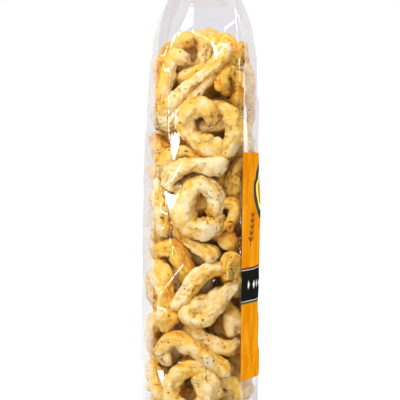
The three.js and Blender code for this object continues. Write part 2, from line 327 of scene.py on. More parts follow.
# While the rings settle, balls stand for the ropes
BALL_STEP = 4.5
BALL_SHARE = 0.97  # of a rope's thickness
NEIGHBOUR_GAP = 6  # balls closer than this may come to touch
NEIGHBOUR_STEPS = 8  # steps after which neighbours are looked for again
APART_SHARE = 0.5  # of an overlap that a step clears
WALL_SHARE = 0.8  # of what sticks out of the film
TURN_SHARE = 0.6  # of both, where it turns a loose ring
MOVE_SHARE = 0.8  # of a move that a step makes
HELD_MOVE = (0.04, 1, 0.04)  # a held ring moves along the view
HELD_SPRING = (0.94, 1, 0.94)  # what it keeps of its shift in each step


def view_to_bag(right, up, depth):
    """Moves a point along the camera's line of sight from the bag's middle plane to a depth."""
    near = (CAMERA_AWAY + depth) / CAMERA_AWAY
    across = CAMERA_RIGHT + (AIM_RIGHT + right - CAMERA_RIGHT) * near
    return (across, depth, CAMERA_HEIGHT + (up - CAMERA_HEIGHT) * near)


def spline(knots, steps=14):
    """A Catmull-Rom curve through the knots."""
    knots = np.array(knots, float)
    before, after = 2 * knots[0] - knots[1], 2 * knots[-1] - knots[-2]
    p = np.vstack([before, knots, after])
    t = np.linspace(0, 1, steps, endpoint=False)[:, None]
    line = []
    for a, b, c, d in zip(p, p[1:], p[2:], p[3:]):
        square = (2 * a - 5 * b + 4 * c - d) * t**2
        cube = (3 * b - a - 3 * c + d) * t**3
        line.append(0.5 * (2 * b + (c - a) * t + square + cube))
    return np.vstack([*line, knots[-1:]])


def length_of(line):
    """The length of a line of points."""
    return np.linalg.norm(np.diff(line[:, :3], axis=0), axis=1).sum()


def at_lengths(line, lengths):
    """Points of a line at given distances along it."""
    steps = np.linalg.norm(np.diff(line[:, :3], axis=0), axis=1)
    along = np.concatenate([[0], np.cumsum(steps)])
    return np.stack([np.interp(lengths, along, column) for column in line.T], 1)


class Rope:
    """One tarallo: a line of points with half thicknesses, and the way its flat side faces."""

    def __init__(self, knots, axis, tone, held=False):
        self.line = spline(knots)
        self.axis = np.array(axis, float)
        self.tone = tone
        self.held = held

    def balls(self):
        length = length_of(self.line)
        count = max(3, round(length / BALL_STEP))
        return at_lengths(self.line, np.linspace(0, length, count))

    def place(self, turn, shift, middle):
        """Turns the rope about its middle and shifts it."""
        self.line[:, :3] = (self.line[:, :3] - middle) @ turn.T + middle + shift
        self.axis = turn @ self.axis

    def rings(self, rng, step):
        """Points for the swept mesh, close together in the rounded ends."""
        first, last = self.line[0].copy(), self.line[-1].copy()
        for end, inner in ((first, self.line[1]), (last, self.line[-2])):
            way = end[:3] - inner[:3]
            end[:3] += way / np.linalg.norm(way) * END_REACH * end[3]
        line = np.vstack([first, self.line, last])
        length = length_of(line)
        turn = np.linspace(0, math.pi / 2, END_STEPS + 1)
        head, tail = first[3], last[3]
        lengths = np.concatenate([
            head * (1 - np.cos(turn)),
            np.arange(head + step, length - tail - step / 2, step),
            length - tail * (1 - np.cos(turn[::-1])),
        ])
        points = np.column_stack([at_lengths(line, lengths), lengths])
        for wave in SWELLS:
            phase = rng.uniform(0, 2 * math.pi)
            points[:, 3] *= 1 + SWELL * np.sin(lengths / wave * 2 * math.pi + phase)
        self.keep_in(points, step)
        for away, size in ((lengths, head), (length - lengths, tail)):
            inside = np.clip(away / size, 0.004, 1)
            points[:, 3] *= (1 - (1 - inside) ** END_POWER) ** (1 / END_POWER)
        return points

    @staticmethod
    def keep_in(points, step):
        """Bends the rope inwards where it would touch the film."""
        reach = max(1, round(BEND_REACH / step))
        kernel = np.hanning(2 * reach + 1)
        kernel /= kernel.sum()
        for _ in range(BEND_PASSES):
            push = film_push(points[:, :3], points[:, 3])
            # The widest push within reach, then smoothed along the rope
            for i in range(3):
                padded = np.pad(push[:, i], reach, mode="edge")
                windows = np.lib.stride_tricks.sliding_window_view(padded, 2 * reach + 1)
                strongest = np.take_along_axis(windows, np.abs(windows).argmax(1)[:, None], 1)[:, 0]
                padded = np.pad(strongest, reach, mode="edge")
                points[:, i] += np.convolve(padded, kernel, mode="valid")


def whole_ring(knots, tone):
    """A ring that shows whole, with its flat side towards the camera."""
    placed = [(*view_to_bag(*k[:3]), k[3]) for k in knots]
    return Rope(placed, (0, -1, 0), tone, held=True)


def edge_on_ring(knots, rng):
    """The near side of a ring, and its far side closed behind it, where nothing is seen."""
    near = np.array([(*view_to_bag(*k[:3]), k[3]) for k in knots])
    deep = np.clip((RING_LENGTH - 2 * length_of(near)) / 2, *FAR_SIDE_DEPTHS)
    chord = near[0] - near[-1]
    chord[3] = 0
    chord /= np.linalg.norm(chord)
    far_side = [(-1, *point) for point in FAR_SIDE_LAST]
    far_side += [(len(near) // 2, *FAR_SIDE_MIDDLE)]
    far_side += [(0, *point) for point in FAR_SIDE_FIRST]
    far = []
    for behind, back, out in far_side:
        point = near[behind] + chord * out
        point[1] += deep * back
        point[3] = FAR_SIDE_THICK
        far.append(point)
    flat_side = np.cross(chord[:3], (0, 1, 0))
    return Rope([*far, *near], flat_side, rng.uniform(0, 1), held=True)


def loose_knots(rng):
    """A ring round the origin with its ends crossed, flat side along z."""
    half = rng.uniform(*LOOSE_HALF_WIDTHS)
    stretch = rng.choice(LOOSE_STRETCHES)
    thick = rng.uniform(*LOOSE_THICKNESSES)
    start = rng.uniform(0, 2 * math.pi)
    overlap = rng.uniform(*LOOSE_OVERLAPS)
    lift = rng.choice((-1, 1)) * thick * LOOSE_LIFT
    knots = []
    for t in np.linspace(0, 1, LOOSE_KNOTS):
        turn = start + t * (2 * math.pi + overlap)
        ends = abs(2 * t - 1)
        out = half * (1 + 0.1 * math.sin(2 * turn + start) + ends**6 * (0.16 if t < 0.5 else -0.1))
        rise = lift * np.sign(0.5 - t) * smooth((ends - 0.45) / 0.4)
        knots.append((out * stretch * math.cos(turn), out / stretch**0.5 * math.sin(turn), rise,
                      thick * rng.uniform(0.92, 1.08)))
    return np.array(knots)


def turn_about(axis, angle):
    """A rotation matrix about x, y or z."""
    i, j = [k for k in range(3) if k != axis]
    turn = np.eye(3)
    turn[i, i] = turn[j, j] = math.cos(angle)
    turn[i, j], turn[j, i] = -math.sin(angle), math.sin(angle)
    return turn


def random_turn(rng):
    """Flat side towards a narrow panel most of the time, else a wide one, and tilted at random."""
    spin = turn_about(2, rng.uniform(0, 2 * math.pi))
    tilt = turn_about(0, rng.uniform(0, 1) ** 1.3 * math.pi * rng.choice((0.25, 0.6)))
    heading = turn_about(2, rng.uniform(0, 2 * math.pi))
    facing = turn_about(0, math.pi / 2) if rng.uniform(0, 1) < 0.5 else turn_about(1, math.pi / 2)
    return facing @ heading @ tilt @ spin


def film_push(points, radii):
    """How far balls have to move to lie inside the film, as vectors."""
    x, y, z = points.T
    push = np.zeros_like(points)
    across = x - middle_x(z)
    inset = bottom_inset(z)
    edge = np.minimum(1, np.abs(across) / crease_x(z))
    fold = fold_depth(z) * share(np.abs(across), crease_x(z) + 0.01, triangle_x(z))
    fold += tipped_in(across, z) * (y < 0)
    narrow = HALF_WIDE + narrow_bulge(z) * (1 - edge**2) - inset - fold
    over = np.abs(y) + radii + CLEARANCE - narrow
    push[:, 1] -= np.sign(y) * np.maximum(0, over)
    u = np.clip(y / HALF_WIDE, -1, 1)
    wide = crease_x(z) + wide_bulge(z) * (1 - u**2) - inset
    steep = np.hypot(1, 2 * wide_bulge(z) * u / HALF_WIDE)
    over = (np.abs(across) - wide) / steep + radii + CLEARANCE
    push[:, 0] -= np.sign(across) * np.maximum(0, over)
    push[:, 2] += np.maximum(0, radii + CLEARANCE - z) - np.maximum(0, z + radii - FILL_HEIGHT)
    return push


def best_turn(rest, moved):
    """The rotation that fits balls at rest to where they were pushed."""
    u, _, vt = np.linalg.svd(moved.T @ rest)
    flip = np.diag([1, 1, np.linalg.det(u @ vt)])
    return u @ flip @ vt


def settle(ropes, rounds):
    """Pushes the ropes apart and into the bag. A held one keeps its place in the picture and only
    moves nearer or further, and a loose one moves and turns."""
    parts = [rope.balls() for rope in ropes]
    owner = np.concatenate([[i] * len(p) for i, p in enumerate(parts)])
    balls = np.vstack(parts)
    points, radii = balls[:, :3].copy(), balls[:, 3] * BALL_SHARE
    starts = np.searchsorted(owner, np.arange(len(ropes) + 1))
    spans = [slice(a, b) for a, b in zip(starts, starts[1:])]
    middles = [points[s].mean(0) for s in spans]
    rests = [points[s] - m for s, m in zip(spans, middles)]
    turns = [np.eye(3) for _ in ropes]
    shifts = [np.zeros(3) for _ in ropes]
    for step in range(rounds):
        if step % NEIGHBOUR_STEPS == 0:
            far = np.sqrt(((points[:, None] - points[None]) ** 2).sum(2))
            close = (far < radii[:, None] + radii + NEIGHBOUR_GAP) & (owner[:, None] < owner)
            a, b = np.nonzero(close)
        gap = points[a] - points[b]
        far = np.linalg.norm(gap, axis=1) + 1e-6
        over = np.maximum(0, radii[a] + radii[b] - far)
        part = gap * (over / far)[:, None]
        push, weight = np.zeros_like(points), np.zeros(len(points))
        np.add.at(push, a, part * over[:, None])
        np.add.at(push, b, -part * over[:, None])
        np.add.at(weight, a, over)
        np.add.at(weight, b, over)
        walls = film_push(points, radii)
        wall_size = np.abs(walls).sum(1)
        for i, (rope, span) in enumerate(zip(ropes, spans)):
            move = APART_SHARE * push[span].sum(0) / max(weight[span].sum(), 1e-6)
            wall = (walls[span] * wall_size[span][:, None]).sum(0) / max(wall_size[span].sum(), 1e-6)
            if rope.held:
                shifts[i] = shifts[i] * HELD_SPRING
                move = move * HELD_MOVE + WALL_SHARE * wall
            else:
                pushed = points[span] + TURN_SHARE * push[span] / (weight[span] + 1)[:, None]
                pushed = pushed + TURN_SHARE * walls[span]
                turns[i] = best_turn(rests[i], pushed - pushed.mean(0))
                move = move + WALL_SHARE * wall
            shifts[i] = shifts[i] + MOVE_SHARE * move
            points[span] = rests[i] @ turns[i].T + middles[i] + shifts[i]
    for rope, turn, shift, middle in zip(ropes, turns, shifts, middles):
        rope.place(turn, shift, middle)


def seen_at(balls):
    """Where the camera sees balls in the bag's middle plane, as (across, up), and how large."""
    near = (CAMERA_AWAY + balls[:, 1:2]) / CAMERA_AWAY
    eye = np.array((CAMERA_RIGHT, CAMERA_HEIGHT))
    return eye + (balls[:, (0, 2)] - eye) / near, balls[:, 3] / near[:, 0]


def open_spots(parts):
    """Spots where the camera would see right through the contents, as (across, up)."""
    x, z = np.meshgrid(np.arange(*VIEW_ACROSS, SPOT_STEP), np.arange(*VIEW_UP, SPOT_STEP))
    spots = np.stack([x.ravel(), z.ravel()], 1)
    places, radii = seen_at(parts)
    gap = np.linalg.norm(spots[:, None] - places[None], axis=2) - radii
    return spots[gap.min(1) > -SPOT_MARGIN]


def place_loose(ropes, rng, wanted, tries):
    """Adds loose rings where there is most room and where they close a gap in the view."""
    parts = np.vstack([rope.balls() for rope in ropes])
    for _ in range(wanted):
        best, best_score = None, math.inf
        spots = open_spots(parts)
        for _ in range(tries):
            shape, turn = loose_knots(rng), random_turn(rng)
            place = [rng.uniform(*ends) for ends in LOOSE_ROOM]
            knots = shape.copy()
            knots[:, :3] = shape[:, :3] @ turn.T + place
            radii = knots[:, 3]
            gap = np.linalg.norm(knots[:, None, :3] - parts[None, :, :3], axis=2)
            over = np.maximum(0, radii[:, None] + parts[None, :, 3] - gap)
            score = over.sum() + WALL_WEIGHT * np.abs(film_push(knots[:, :3], radii)).sum()
            places, seen_radii = seen_at(knots)
            away = np.linalg.norm(spots[:, None] - places[None], axis=2)
            score -= GAP_WEIGHT * (away < seen_radii).any(1).sum()
            if score < best_score:
                best, best_score = (knots, turn @ (0, 0, 1)), score
        ropes.append(Rope(*best, rng.uniform(*LOOSE_TONES)))
        parts = np.vstack([parts, ropes[-1].balls()])


def all_ropes(sizes):
    """All taralli in their places, and the random draw that their meshes go on with."""
    rng = np.random.RandomState(sizes.seed)
    ropes = [whole_ring(knots, tone) for knots, tone in zip(WHOLE_RINGS, WHOLE_TONES)]
    ropes += [edge_on_ring(knots, rng) for knots in EDGE_ON_RINGS]
    settle(ropes, sizes.rounds // 3)
    added = (sizes.loose * 3 // 4, sizes.loose // 4, LAST_RINGS)
    rounds = (sizes.rounds // 2, sizes.rounds, sizes.rounds // 5)
    for wanted, tries, steps in zip(added, LOOSE_TRIES, rounds):
        place_loose(ropes, rng, wanted, tries)
        settle(ropes, steps)
    return ropes, rng


# ---------------------------------------------------------------- meshes and nodes


def new_object(name, points, faces=(), edges=()):
    """A mesh object from points in mm."""
    mesh = bpy.data.meshes.new(name)
    mesh.from_pydata([tuple(p) for p in np.asarray(points, float) * MM], list(edges), list(faces))
    obj = bpy.data.objects.new(name, mesh)
    bpy.context.scene.collection.objects.link(obj)
    return obj


def grid_faces(rows, columns):
    """Quads over a grid of points, row by row, whose last column joins its first."""
    faces = []
    for row in range(rows - 1):
        for column in range(columns):
            a = row * columns + column
            b = row * columns + (column + 1) % columns
            faces.append((a, b, b + columns, a + columns))
    return faces


def shade_smooth(obj):
    """Shades every face smooth."""
    obj.data.polygons.foreach_set("use_smooth", [True] * len(obj.data.polygons))


def store(obj, name, values, kind="FLOAT"):
    """Keeps a number or a vector for each point of a mesh."""
    field = "vector" if kind == "FLOAT_VECTOR" else "value"
    obj.data.attributes.new(name, kind, "POINT").data.foreach_set(field, np.ravel(values))


def keep(obj, slot, *nodes):
    """A finished piece: it rides on the bag's body and stands for its frame node."""
    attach(obj, BODY)
    if nodes:
        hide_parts(*nodes)


class Value:
    """A socket that takes part in Python expressions, which add Math nodes."""

    def __init__(self, tree, socket):
        self.tree = tree
        self.socket = socket

    def other(self, output):
        """Another output of the same node."""
        return Value(self.tree, self.socket.node.outputs[output])

    def __add__(self, other):
        return self.tree.maths("ADD", self, other)

    def __sub__(self, other):
        return self.tree.maths("SUBTRACT", self, other)

    def __rsub__(self, other):
        return self.tree.maths("SUBTRACT", other, self)

    def __mul__(self, other):
        return self.tree.maths("MULTIPLY", self, other)

    def __rtruediv__(self, other):
        return self.tree.maths("DIVIDE", other, self)

    def __pow__(self, other):
        return self.tree.maths("POWER", self, other)

    __radd__ = __add__
    __rmul__ = __mul__


class Tree:
    """A node tree under construction."""

    def __init__(self, tree):
        self.tree = tree

    def node(self, kind, settings=None, out=0, **sockets):
        """Adds a node and gives one of its outputs. A socket is named with underscores for
        spaces, or by i and its number where its name is used twice."""
        made = self.tree.nodes.new(kind)
        for name, value in (settings or {}).items():
            setattr(made, name, value)
        for name, value in sockets.items():
            if name[1:].isdigit():
                socket = made.inputs[int(name[1:])]
            else:
                socket = next(s for s in made.inputs if s.name.replace(" ", "_") == name and s.enabled)
            if isinstance(value, Value):
                self.tree.links.new(value.socket, socket)
            else:
                socket.default_value = value
        return Value(self, made.outputs[out]) if made.outputs else None

    def maths(self, operation, *values):
        sockets = {f"i{n}": value for n, value in enumerate(values)}
        return self.node("ShaderNodeMath", {"operation": operation}, **sockets)

    def vector(self, operation, *values, out=0):
        sockets = {f"i{n}": value for n, value in enumerate(values)}
        return self.node("ShaderNodeVectorMath", {"operation": operation}, out, **sockets)

    def scaled(self, vector, scale):
        return self.node("ShaderNodeVectorMath", {"operation": "SCALE"}, i0=vector, Scale=scale)

    def mix(self, factor, a, b):
        """A mix of two colours."""
        settings = {"data_type": "RGBA", "clamp_factor": True}
        return self.node("ShaderNodeMix", settings, 2, i0=factor, i6=a, i7=b)

    def ramp(self, value, low, high):
        """0 at low and 1 at high, smooth between. It falls where low is the larger."""
        ends = (1.0, 0.0) if low > high else (0.0, 1.0)
        settings = {"interpolation_type": "SMOOTHSTEP"}
        sockets = {"i1": min(low, high), "i2": max(low, high), "i3": ends[0], "i4": ends[1]}
        return self.node("ShaderNodeMapRange", settings, i0=value, **sockets)

    def noise(self, vector, scale, detail=2.0, rough=0.5):
        return self.node("ShaderNodeTexNoise", Vector=vector, Scale=scale, Detail=detail, Roughness=rough)

    def attribute(self, name):
        return self.node("ShaderNodeAttribute", {"attribute_name": name}, "Fac")

    def object_place(self):
        return self.node("ShaderNodeTexCoord", out="Object")


def new_material(name):
    """A material with an empty node tree."""
    material = bpy.data.materials.new(name)
    material.use_nodes = True
    material.node_tree.nodes.clear()
    return material, Tree(material.node_tree)


def colour(rgb):
    """A screen colour, 0 to 255, as the linear colour that shaders take."""
    linear = [c / 255 / 12.92 if c <= 10 else ((c / 255 + 0.055) / 1.055) ** 2.4 for c in rgb]
    return (*linear, 1.0)


def node_group(name, inputs):
    """A geometry node tree with a geometry input and named inputs for its sizes."""
    tree = bpy.data.node_groups.new(name, "GeometryNodeTree")
    tree.interface.new_socket("Geometry", in_out="INPUT", socket_type="NodeSocketGeometry")
    tree.interface.new_socket("Geometry", in_out="OUTPUT", socket_type="NodeSocketGeometry")
    for label, kind in inputs.items():
        tree.interface.new_socket(label, in_out="INPUT", socket_type=f"NodeSocket{kind}")
    t = Tree(tree)
    first = t.node("NodeGroupInput")
    return t, {s.name: Value(t, s) for s in first.socket.node.outputs if s.name}


def end_group(t, geometry, material):
    """Every tree ends the same way: real meshes with one material."""
    real = t.node("GeometryNodeRealizeInstances", Geometry=geometry)
    soft = t.node("GeometryNodeSetShadeSmooth", Geometry=real)
    dressed = t.node("GeometryNodeSetMaterial", Geometry=soft, Material=material)
    t.node("NodeGroupOutput", Geometry=dressed)


def grown(name, source, tree, values):
    """Runs a node tree on an object and gives its result as a plain mesh object."""
    modifier = source.modifiers.new(tree.name, "NODES")
    modifier.node_group = tree
    for item in tree.interface.items_tree:
        if item.item_type == "SOCKET" and item.in_out == "INPUT" and item.name in values:
            modifier[item.identifier] = values[item.name]
    graph = bpy.context.evaluated_depsgraph_get()
    mesh = bpy.data.meshes.new_from_object(source.evaluated_get(graph))
    source.modifiers.remove(modifier)
    mesh.name = name
    made = bpy.data.objects.new(name, mesh)
    bpy.context.scene.collection.objects.link(made)
    return made


# ---------------------------------------------------------------- dough


def crust_material(colours):
    """Baked dough: golden, paler and browned in patches, with specks, pits and a few fine cracks. Raised
    places and the flat face along the ring's axis are painted paler, as painted highlight, and hollows and
    the other face browner, as painted shade."""
    material, t = new_material("crust")
    place = t.object_place()
    relief, crown, tone = t.attribute("relief"), t.attribute("crown"), t.attribute("tone")
    broad = t.noise(place, 75, 3, 0.55)
    fine = t.noise(place, 320, 4, 0.6)
    tiny = t.noise(place, 1300, 3, 0.6)
    # Painted highlight and shade: raised places (lift) and the flat face along the ring's axis (crown) are
    # made paler, hollows and the other face browner. The broad, fine and tone terms are the crust's own
    # uneven colour.
    lift = (relief - 0.5) * 0.9
    pale_and_lit = 0.38 + crown * 0.26 + lift * 1.6 + (broad - 0.5) * 1.2 + (tone - 0.5) * 0.4
    pale_and_lit = pale_and_lit + (fine - 0.5) * 0.7
    base = t.mix(t.ramp(pale_and_lit, 0.3, 1.04), colours.golden, colours.pale)
    # Browned patches from noise, plus painted shade in the hollows and on the face away from the ring's
    # axis
    browned_and_shaded = (broad - 0.5) * -1.2 + (fine - 0.5) * 1.4 - lift * 1.7 - crown * 0.25 - (tone - 0.5) * 0.3
    base = t.mix(t.ramp(browned_and_shaded, 0.0, 0.45) * 0.85, base, colours.baked)
    base = t.mix(t.ramp(tiny, 0.56, 0.78) * 0.3, base, colours.baked)
    # Specks and pits: small dots of uneven size and outline
    shaken = t.vector("ADD", place, t.scaled(t.noise(place, 900).other("Color"), 0.0007))
    cells = t.node("ShaderNodeTexVoronoi", Vector=shaken, Scale=255.0)
    size = t.node("ShaderNodeSeparateColor", Color=cells.other("Color"))
    speck = t.ramp(cells.other("Distance") - size**1.5 * 0.165, 0.07, 0.02)
    # Cracks: thin lines between large cells, only where the dough was stretched
    waved = t.vector("ADD", place, t.scaled(t.noise(place, 260).other("Color"), 0.004))
    lines = t.node("ShaderNodeTexVoronoi", {"feature": "DISTANCE_TO_EDGE"}, Vector=waved, Scale=120.0)
    torn = t.ramp(t.noise(place, 48), 0.51, 0.63)
    crack = t.ramp(lines, 0.035, 0.006) * torn * t.ramp(fine, 0.42, 0.54)
    base = t.mix(speck * 0.85, base, colours.speck)
    base = t.mix(crack * 0.7, base, colours.crack)
    height = fine * 0.6 + tiny * 0.4 - speck * 0.5 - crack * 0.8
    bump = t.node("ShaderNodeBump", Height=height, Strength=1.0, Distance=0.0014)
    surface = t.node(
        "ShaderNodeBsdfPrincipled", Base_Color=base, Roughness=0.43 + (fine - 0.5) * 0.4, Normal=bump,
        Specular_IOR_Level=0.3,
    )
    t.node("ShaderNodeOutputMaterial", Surface=surface)
    return material


# Sizes of the dough's relief: inputs of the node tree, and properties of the same names
RELIEF = ("Lump Size", "Lump Height", "Fold Length", "Fold Height", "Grain Size", "Grain Height")


def dough_group():
    """Sweeps a round section along each line and roughens it like baked dough."""
    t, given = node_group("dough_rope", {
        "Sides": "Int", **{name: "Float" for name in RELIEF}, "Material": "Material",
    })

    def field(name, kind="FLOAT"):
        return t.node("GeometryNodeInputNamedAttribute", {"data_type": kind}, Name=name)

    per_point = {"data_type": "FLOAT", "domain": "POINT"}
    thick, tone, axis = field("thick"), field("tone"), field("axis", "FLOAT_VECTOR")
    lines = t.node("GeometryNodeMeshToCurve", Mesh=given["Geometry"])
    circle = t.node("GeometryNodeCurvePrimitiveCircle", Resolution=given["Sides"], Radius=1.0)
    place = t.node("GeometryNodeInputPosition")
    section = t.node(
        "GeometryNodeStoreNamedAttribute", {"data_type": "FLOAT_VECTOR", "domain": "POINT"},
        Geometry=circle, Name="section", Value=place)
    swept = t.node(
        "GeometryNodeCurveToMesh", Curve=lines, Profile_Curve=section, Scale=thick, Fill_Caps=True)
    normal = t.node("GeometryNodeInputNormal")
    shaped = {"noise_dimensions": "4D"}
    around, along = field("section", "FLOAT_VECTOR"), field("along")
    lengthwise = t.node("ShaderNodeCombineXYZ", Z=along * (1.0 / given["Fold Length"]))
    rolled = t.vector("ADD", t.scaled(around, 0.85), lengthwise)
    lumps = t.node("ShaderNodeTexNoise", shaped, Vector=place, W=tone * 9.0,
                   Scale=1.0 / given["Lump Size"], Detail=2.0, Roughness=0.45)
    grain = t.node("ShaderNodeTexNoise", shaped, Vector=place, W=tone * 5.0,
                   Scale=1.0 / given["Grain Size"], Detail=2.0, Roughness=0.55)
    # Ridges and grooves run along the rope, where the dough was rolled and pulled
    folds = t.node("ShaderNodeTexNoise", shaped, Vector=rolled, W=tone * 31.0, Scale=1.0, Detail=1.0)
    groove = t.ramp(t.maths("ABSOLUTE", folds - 0.5), 0.035, 0.0)
    groove = groove * t.ramp(lumps, 0.6, 0.45)
    rise = (lumps - 0.5) * given["Lump Height"] + (grain - 0.5) * given["Grain Height"]
    rise = rise + (folds - 0.5 - groove * 0.22) * given["Fold Height"]
    # The tips stay smooth, because all their faces meet in one point
    offset = t.scaled(normal, rise * t.ramp(thick, 0.0004, 0.003))
    moved = t.node("GeometryNodeSetPosition", Geometry=swept, Offset=offset)
    # relief and crown are kept for the crust, which paints raised places and one flat face paler and the
    # rest browner, as painted light and shade
    stored = t.node("GeometryNodeStoreNamedAttribute", per_point, Geometry=moved, Name="relief",
                    Value=lumps * 0.4 + grain * 0.3 + folds * 0.3 - groove * 0.12)
    facing = t.vector("DOT_PRODUCT", normal, axis, out="Value")
    stored = t.node("GeometryNodeStoreNamedAttribute", per_point, Geometry=stored, Name="crown",
                    Value=facing)
    end_group(t, stored, given["Material"])
    return t.tree


def press_flat(obj):
    """Flattens the dough where it would stick out through the film."""
    mesh = obj.data
    flat = np.empty(len(mesh.vertices) * 3, np.float32)
    mesh.vertices.foreach_get("co", flat)
    points = flat.reshape(-1, 3).astype(float) / MM
    points += film_push(points, np.full(len(points), PRESSED_GAP - CLEARANCE))
    mesh.vertices.foreach_set("co", (points * MM).astype(np.float32).ravel())
    mesh.update()


def rope_lines(name, ropes, rng, step):
    """The ropes' middle lines as a mesh of edges with their attributes."""
    rings = [rope.rings(rng, step) for rope in ropes]
    counts = [len(r) for r in rings]
    edges, start = [], 0
    for count in counts:
        edges.extend((i, i + 1) for i in range(start, start + count - 1))
        start += count
    points = np.vstack(rings)
    obj = new_object(name, points[:, :3], edges=edges)
    store(obj, "thick", points[:, 3] * MM)
    store(obj, "along", points[:, 4] * MM)
    store(obj, "tone", np.repeat([rope.tone for rope in ropes], counts))
    store(obj, "axis", np.repeat([rope.axis for rope in ropes], counts, axis=0), "FLOAT_VECTOR")
    return obj


def seed_material(colours):
    """Dry fennel, in two browns."""
    material, t = new_material("fennel")
    tint = t.mix(t.noise(t.object_place(), 800), colours.seeds, colours.seeds_dark)
    surface = t.node("ShaderNodeBsdfPrincipled", Base_Color=tint, Roughness=0.6)
    t.node("ShaderNodeOutputMaterial", Surface=surface)
    return material


def seed_group():
    """Strews seeds over the dough, half sunk in it."""
    t, given = node_group("fennel_seeds", {
        "Spacing": "Float", "Density": "Float", "Length": "Float", "Width": "Float",
        "Seed": "Int", "Material": "Material",
    })
    spots = t.node(
        "GeometryNodeDistributePointsOnFaces", {"distribute_method": "POISSON"},
        Mesh=given["Geometry"], Distance_Min=given["Spacing"], Density_Max=given["Density"],
        Seed=given["Seed"],
    )
    ball = t.node("GeometryNodeMeshUVSphere", Segments=8, Rings=6, Radius=0.5)
    size = t.node("ShaderNodeCombineXYZ", X=given["Length"], Y=given["Width"], Z=given["Width"])
    grain = t.node("GeometryNodeTransform", Geometry=ball, Scale=size)
    spin = t.node("FunctionNodeRandomValue", {"data_type": "FLOAT_VECTOR"}, i0=(0, 0, -math.pi),
                  i1=(0, 0, math.pi), Seed=given["Seed"])
    turned = t.node("FunctionNodeRotateRotation", {"rotation_space": "LOCAL"},
                    Rotation=spots.other("Rotation"), Rotate_By=spin)
    seeds = t.node("GeometryNodeInstanceOnPoints", Points=spots, Instance=grain, Rotation=turned)
    end_group(t, seeds, given["Material"])
    return t.tree


# ---------------------------------------------------------------- film

FILM_EASE = 0.7  # how far the film stands off the smooth form
CREASE_LIP = 0.5  # how far the pinched creases stand out
LIP_WIDTH = 0.9
FILM_ROWS = 300
NEAR_COLUMNS = 184
FAR_COLUMNS = 36
WIDE_COLUMNS = 48
FLAP_COLUMNS = 0.34  # share of the columns of a narrow panel that its outer flaps get
NARROW_FADE = FOLD_START - 6, FOLD_START + 8  # from where to where its bulge ends below the fold
TENT = 1.1  # how far the foot of the tipped triangle stands out
NARROW_EDGE = 2.5  # width beside a crease in which the relief of a narrow panel fades
WIDE_EDGE = 4  # and of a wide one
WIDE_LIP = 0.6  # share of the pinched edge that a wide panel has
END_SHRINKS = (0.8, 0.55, 0.3, 0.1)  # sizes of the rings of faces that close an end
NEAR_SEED, FAR_SEED, WIDE_SEED = 5, 3, 11

# Flat folds of the near panel that catch a lamp, as corners (right of the middle of the view,
# above the floor) in mm, in the plane of the film
LIT_SLOPE = 0.191  # how such a fold leans to the left in the middle of the view
LIT_TURN = 0.00095  # and how much more for each mm to the right
# These tip back with the triangle of the gable, from its tip down its left edge and at its right:
TIPPED_FOLDS = (
    ((-7.4, 291), (-5.3, 291), (-5.6, 275.5), (-14, 275.5)),
    ((-14, 275.5), (-5.6, 275.5), (-10.9, 272.8), (-15.6, 272.8)),
    ((-15.6, 272.8), (-10.9, 272.8), (-16.2, 269.4), (-17.9, 269.4)),
    ((-17.9, 269.4), (-16.2, 269.4), (-20.8, 262), (-22.4, 262)),
    ((-22.4, 262), (-21.2, 262), (-26.4, 250.8), (-27.4, 250.8)),
    ((5.5, 266), (9, 264.5), (9.2, 261), (7.6, 262)),
    ((7.8, 262), (9.2, 262), (12.6, 250.5), (11.4, 250.3)),
    # The top of the right crease
    ((22.8, 290), (25.2, 290), (26, 281), (23.6, 281)),
)
# These stand upright:
UPRIGHT_FOLDS = (
    # Down the left of the upper rings
    ((-12.5, 235), (-11.3, 234), (-12, 224), (-13.8, 224)),
    ((-13.8, 224), (-12, 224), (-18.8, 201), (-20.4, 201)),
    ((-20.2, 201), (-13.5, 201), (-13, 194.5), (-18, 178), (-20.8, 190)),
    # Over the fat ring's left
    ((-27, 164), (-12.5, 157.5), (-17, 151), (-20.5, 142.5), (-24.5, 155)),
    ((-15, 167.5), (-14, 168), (-12, 164), (-13.2, 163.3)),
    ((-28, 134.5), (-23.5, 138.5), (-23.5, 137), (-27, 133.5)),
    # Small ones lower down
    ((-22.6, 66), (-19.8, 66.5), (-20, 63.6)),
    ((-9.4, 44.7), (-14.5, 44.3), (-22.6, 39.2), (-21.2, 38.6), (-11.5, 42)),
    ((-31, 38.5), (-23.5, 38), (-24.5, 30), (-24.5, 21), (-27.5, 27)),
    # The right crease
    ((23.6, 281), (26, 281), (26.8, 272), (24.4, 272)),
    ((24.6, 272), (26.6, 272), (27.2, 263), (25.6, 263)),
    ((26, 263), (27.2, 263), (28.4, 236), (27.4, 236)),
)
# Below this height they tip back, the more the lower, so that they mirror no floor:
UPRIGHT_LEVEL = 220
TIP_BELOW = 1 / 1100
FOLD_EDGE = 0.45  # width over which a fold's edge is soft

# Facets: how far their touching places stray across and up, how they tilt and lean, how deep they
# are pressed, and how they curve away past the next row
FACET_STRAY = 2
FACET_ROW_STRAY = 0.4
FACET_TILT = 0.05
FACET_LEAN = 0.02
FACET_DEPTHS = (-0.4, 0.1)
FACET_CURVE = 0.05
DEEPEST_FACET = -0.4
# Where facets touch across each kind of panel, and the step from row to row
WIDE_FACETS = (-36, -24, -12, 0, 12, 24, 36), 26
NARROW_FACETS = (-28, -13, 0, 13, 28), 21
CRINKLES = (-24, -12, 0, 12, 24), 14


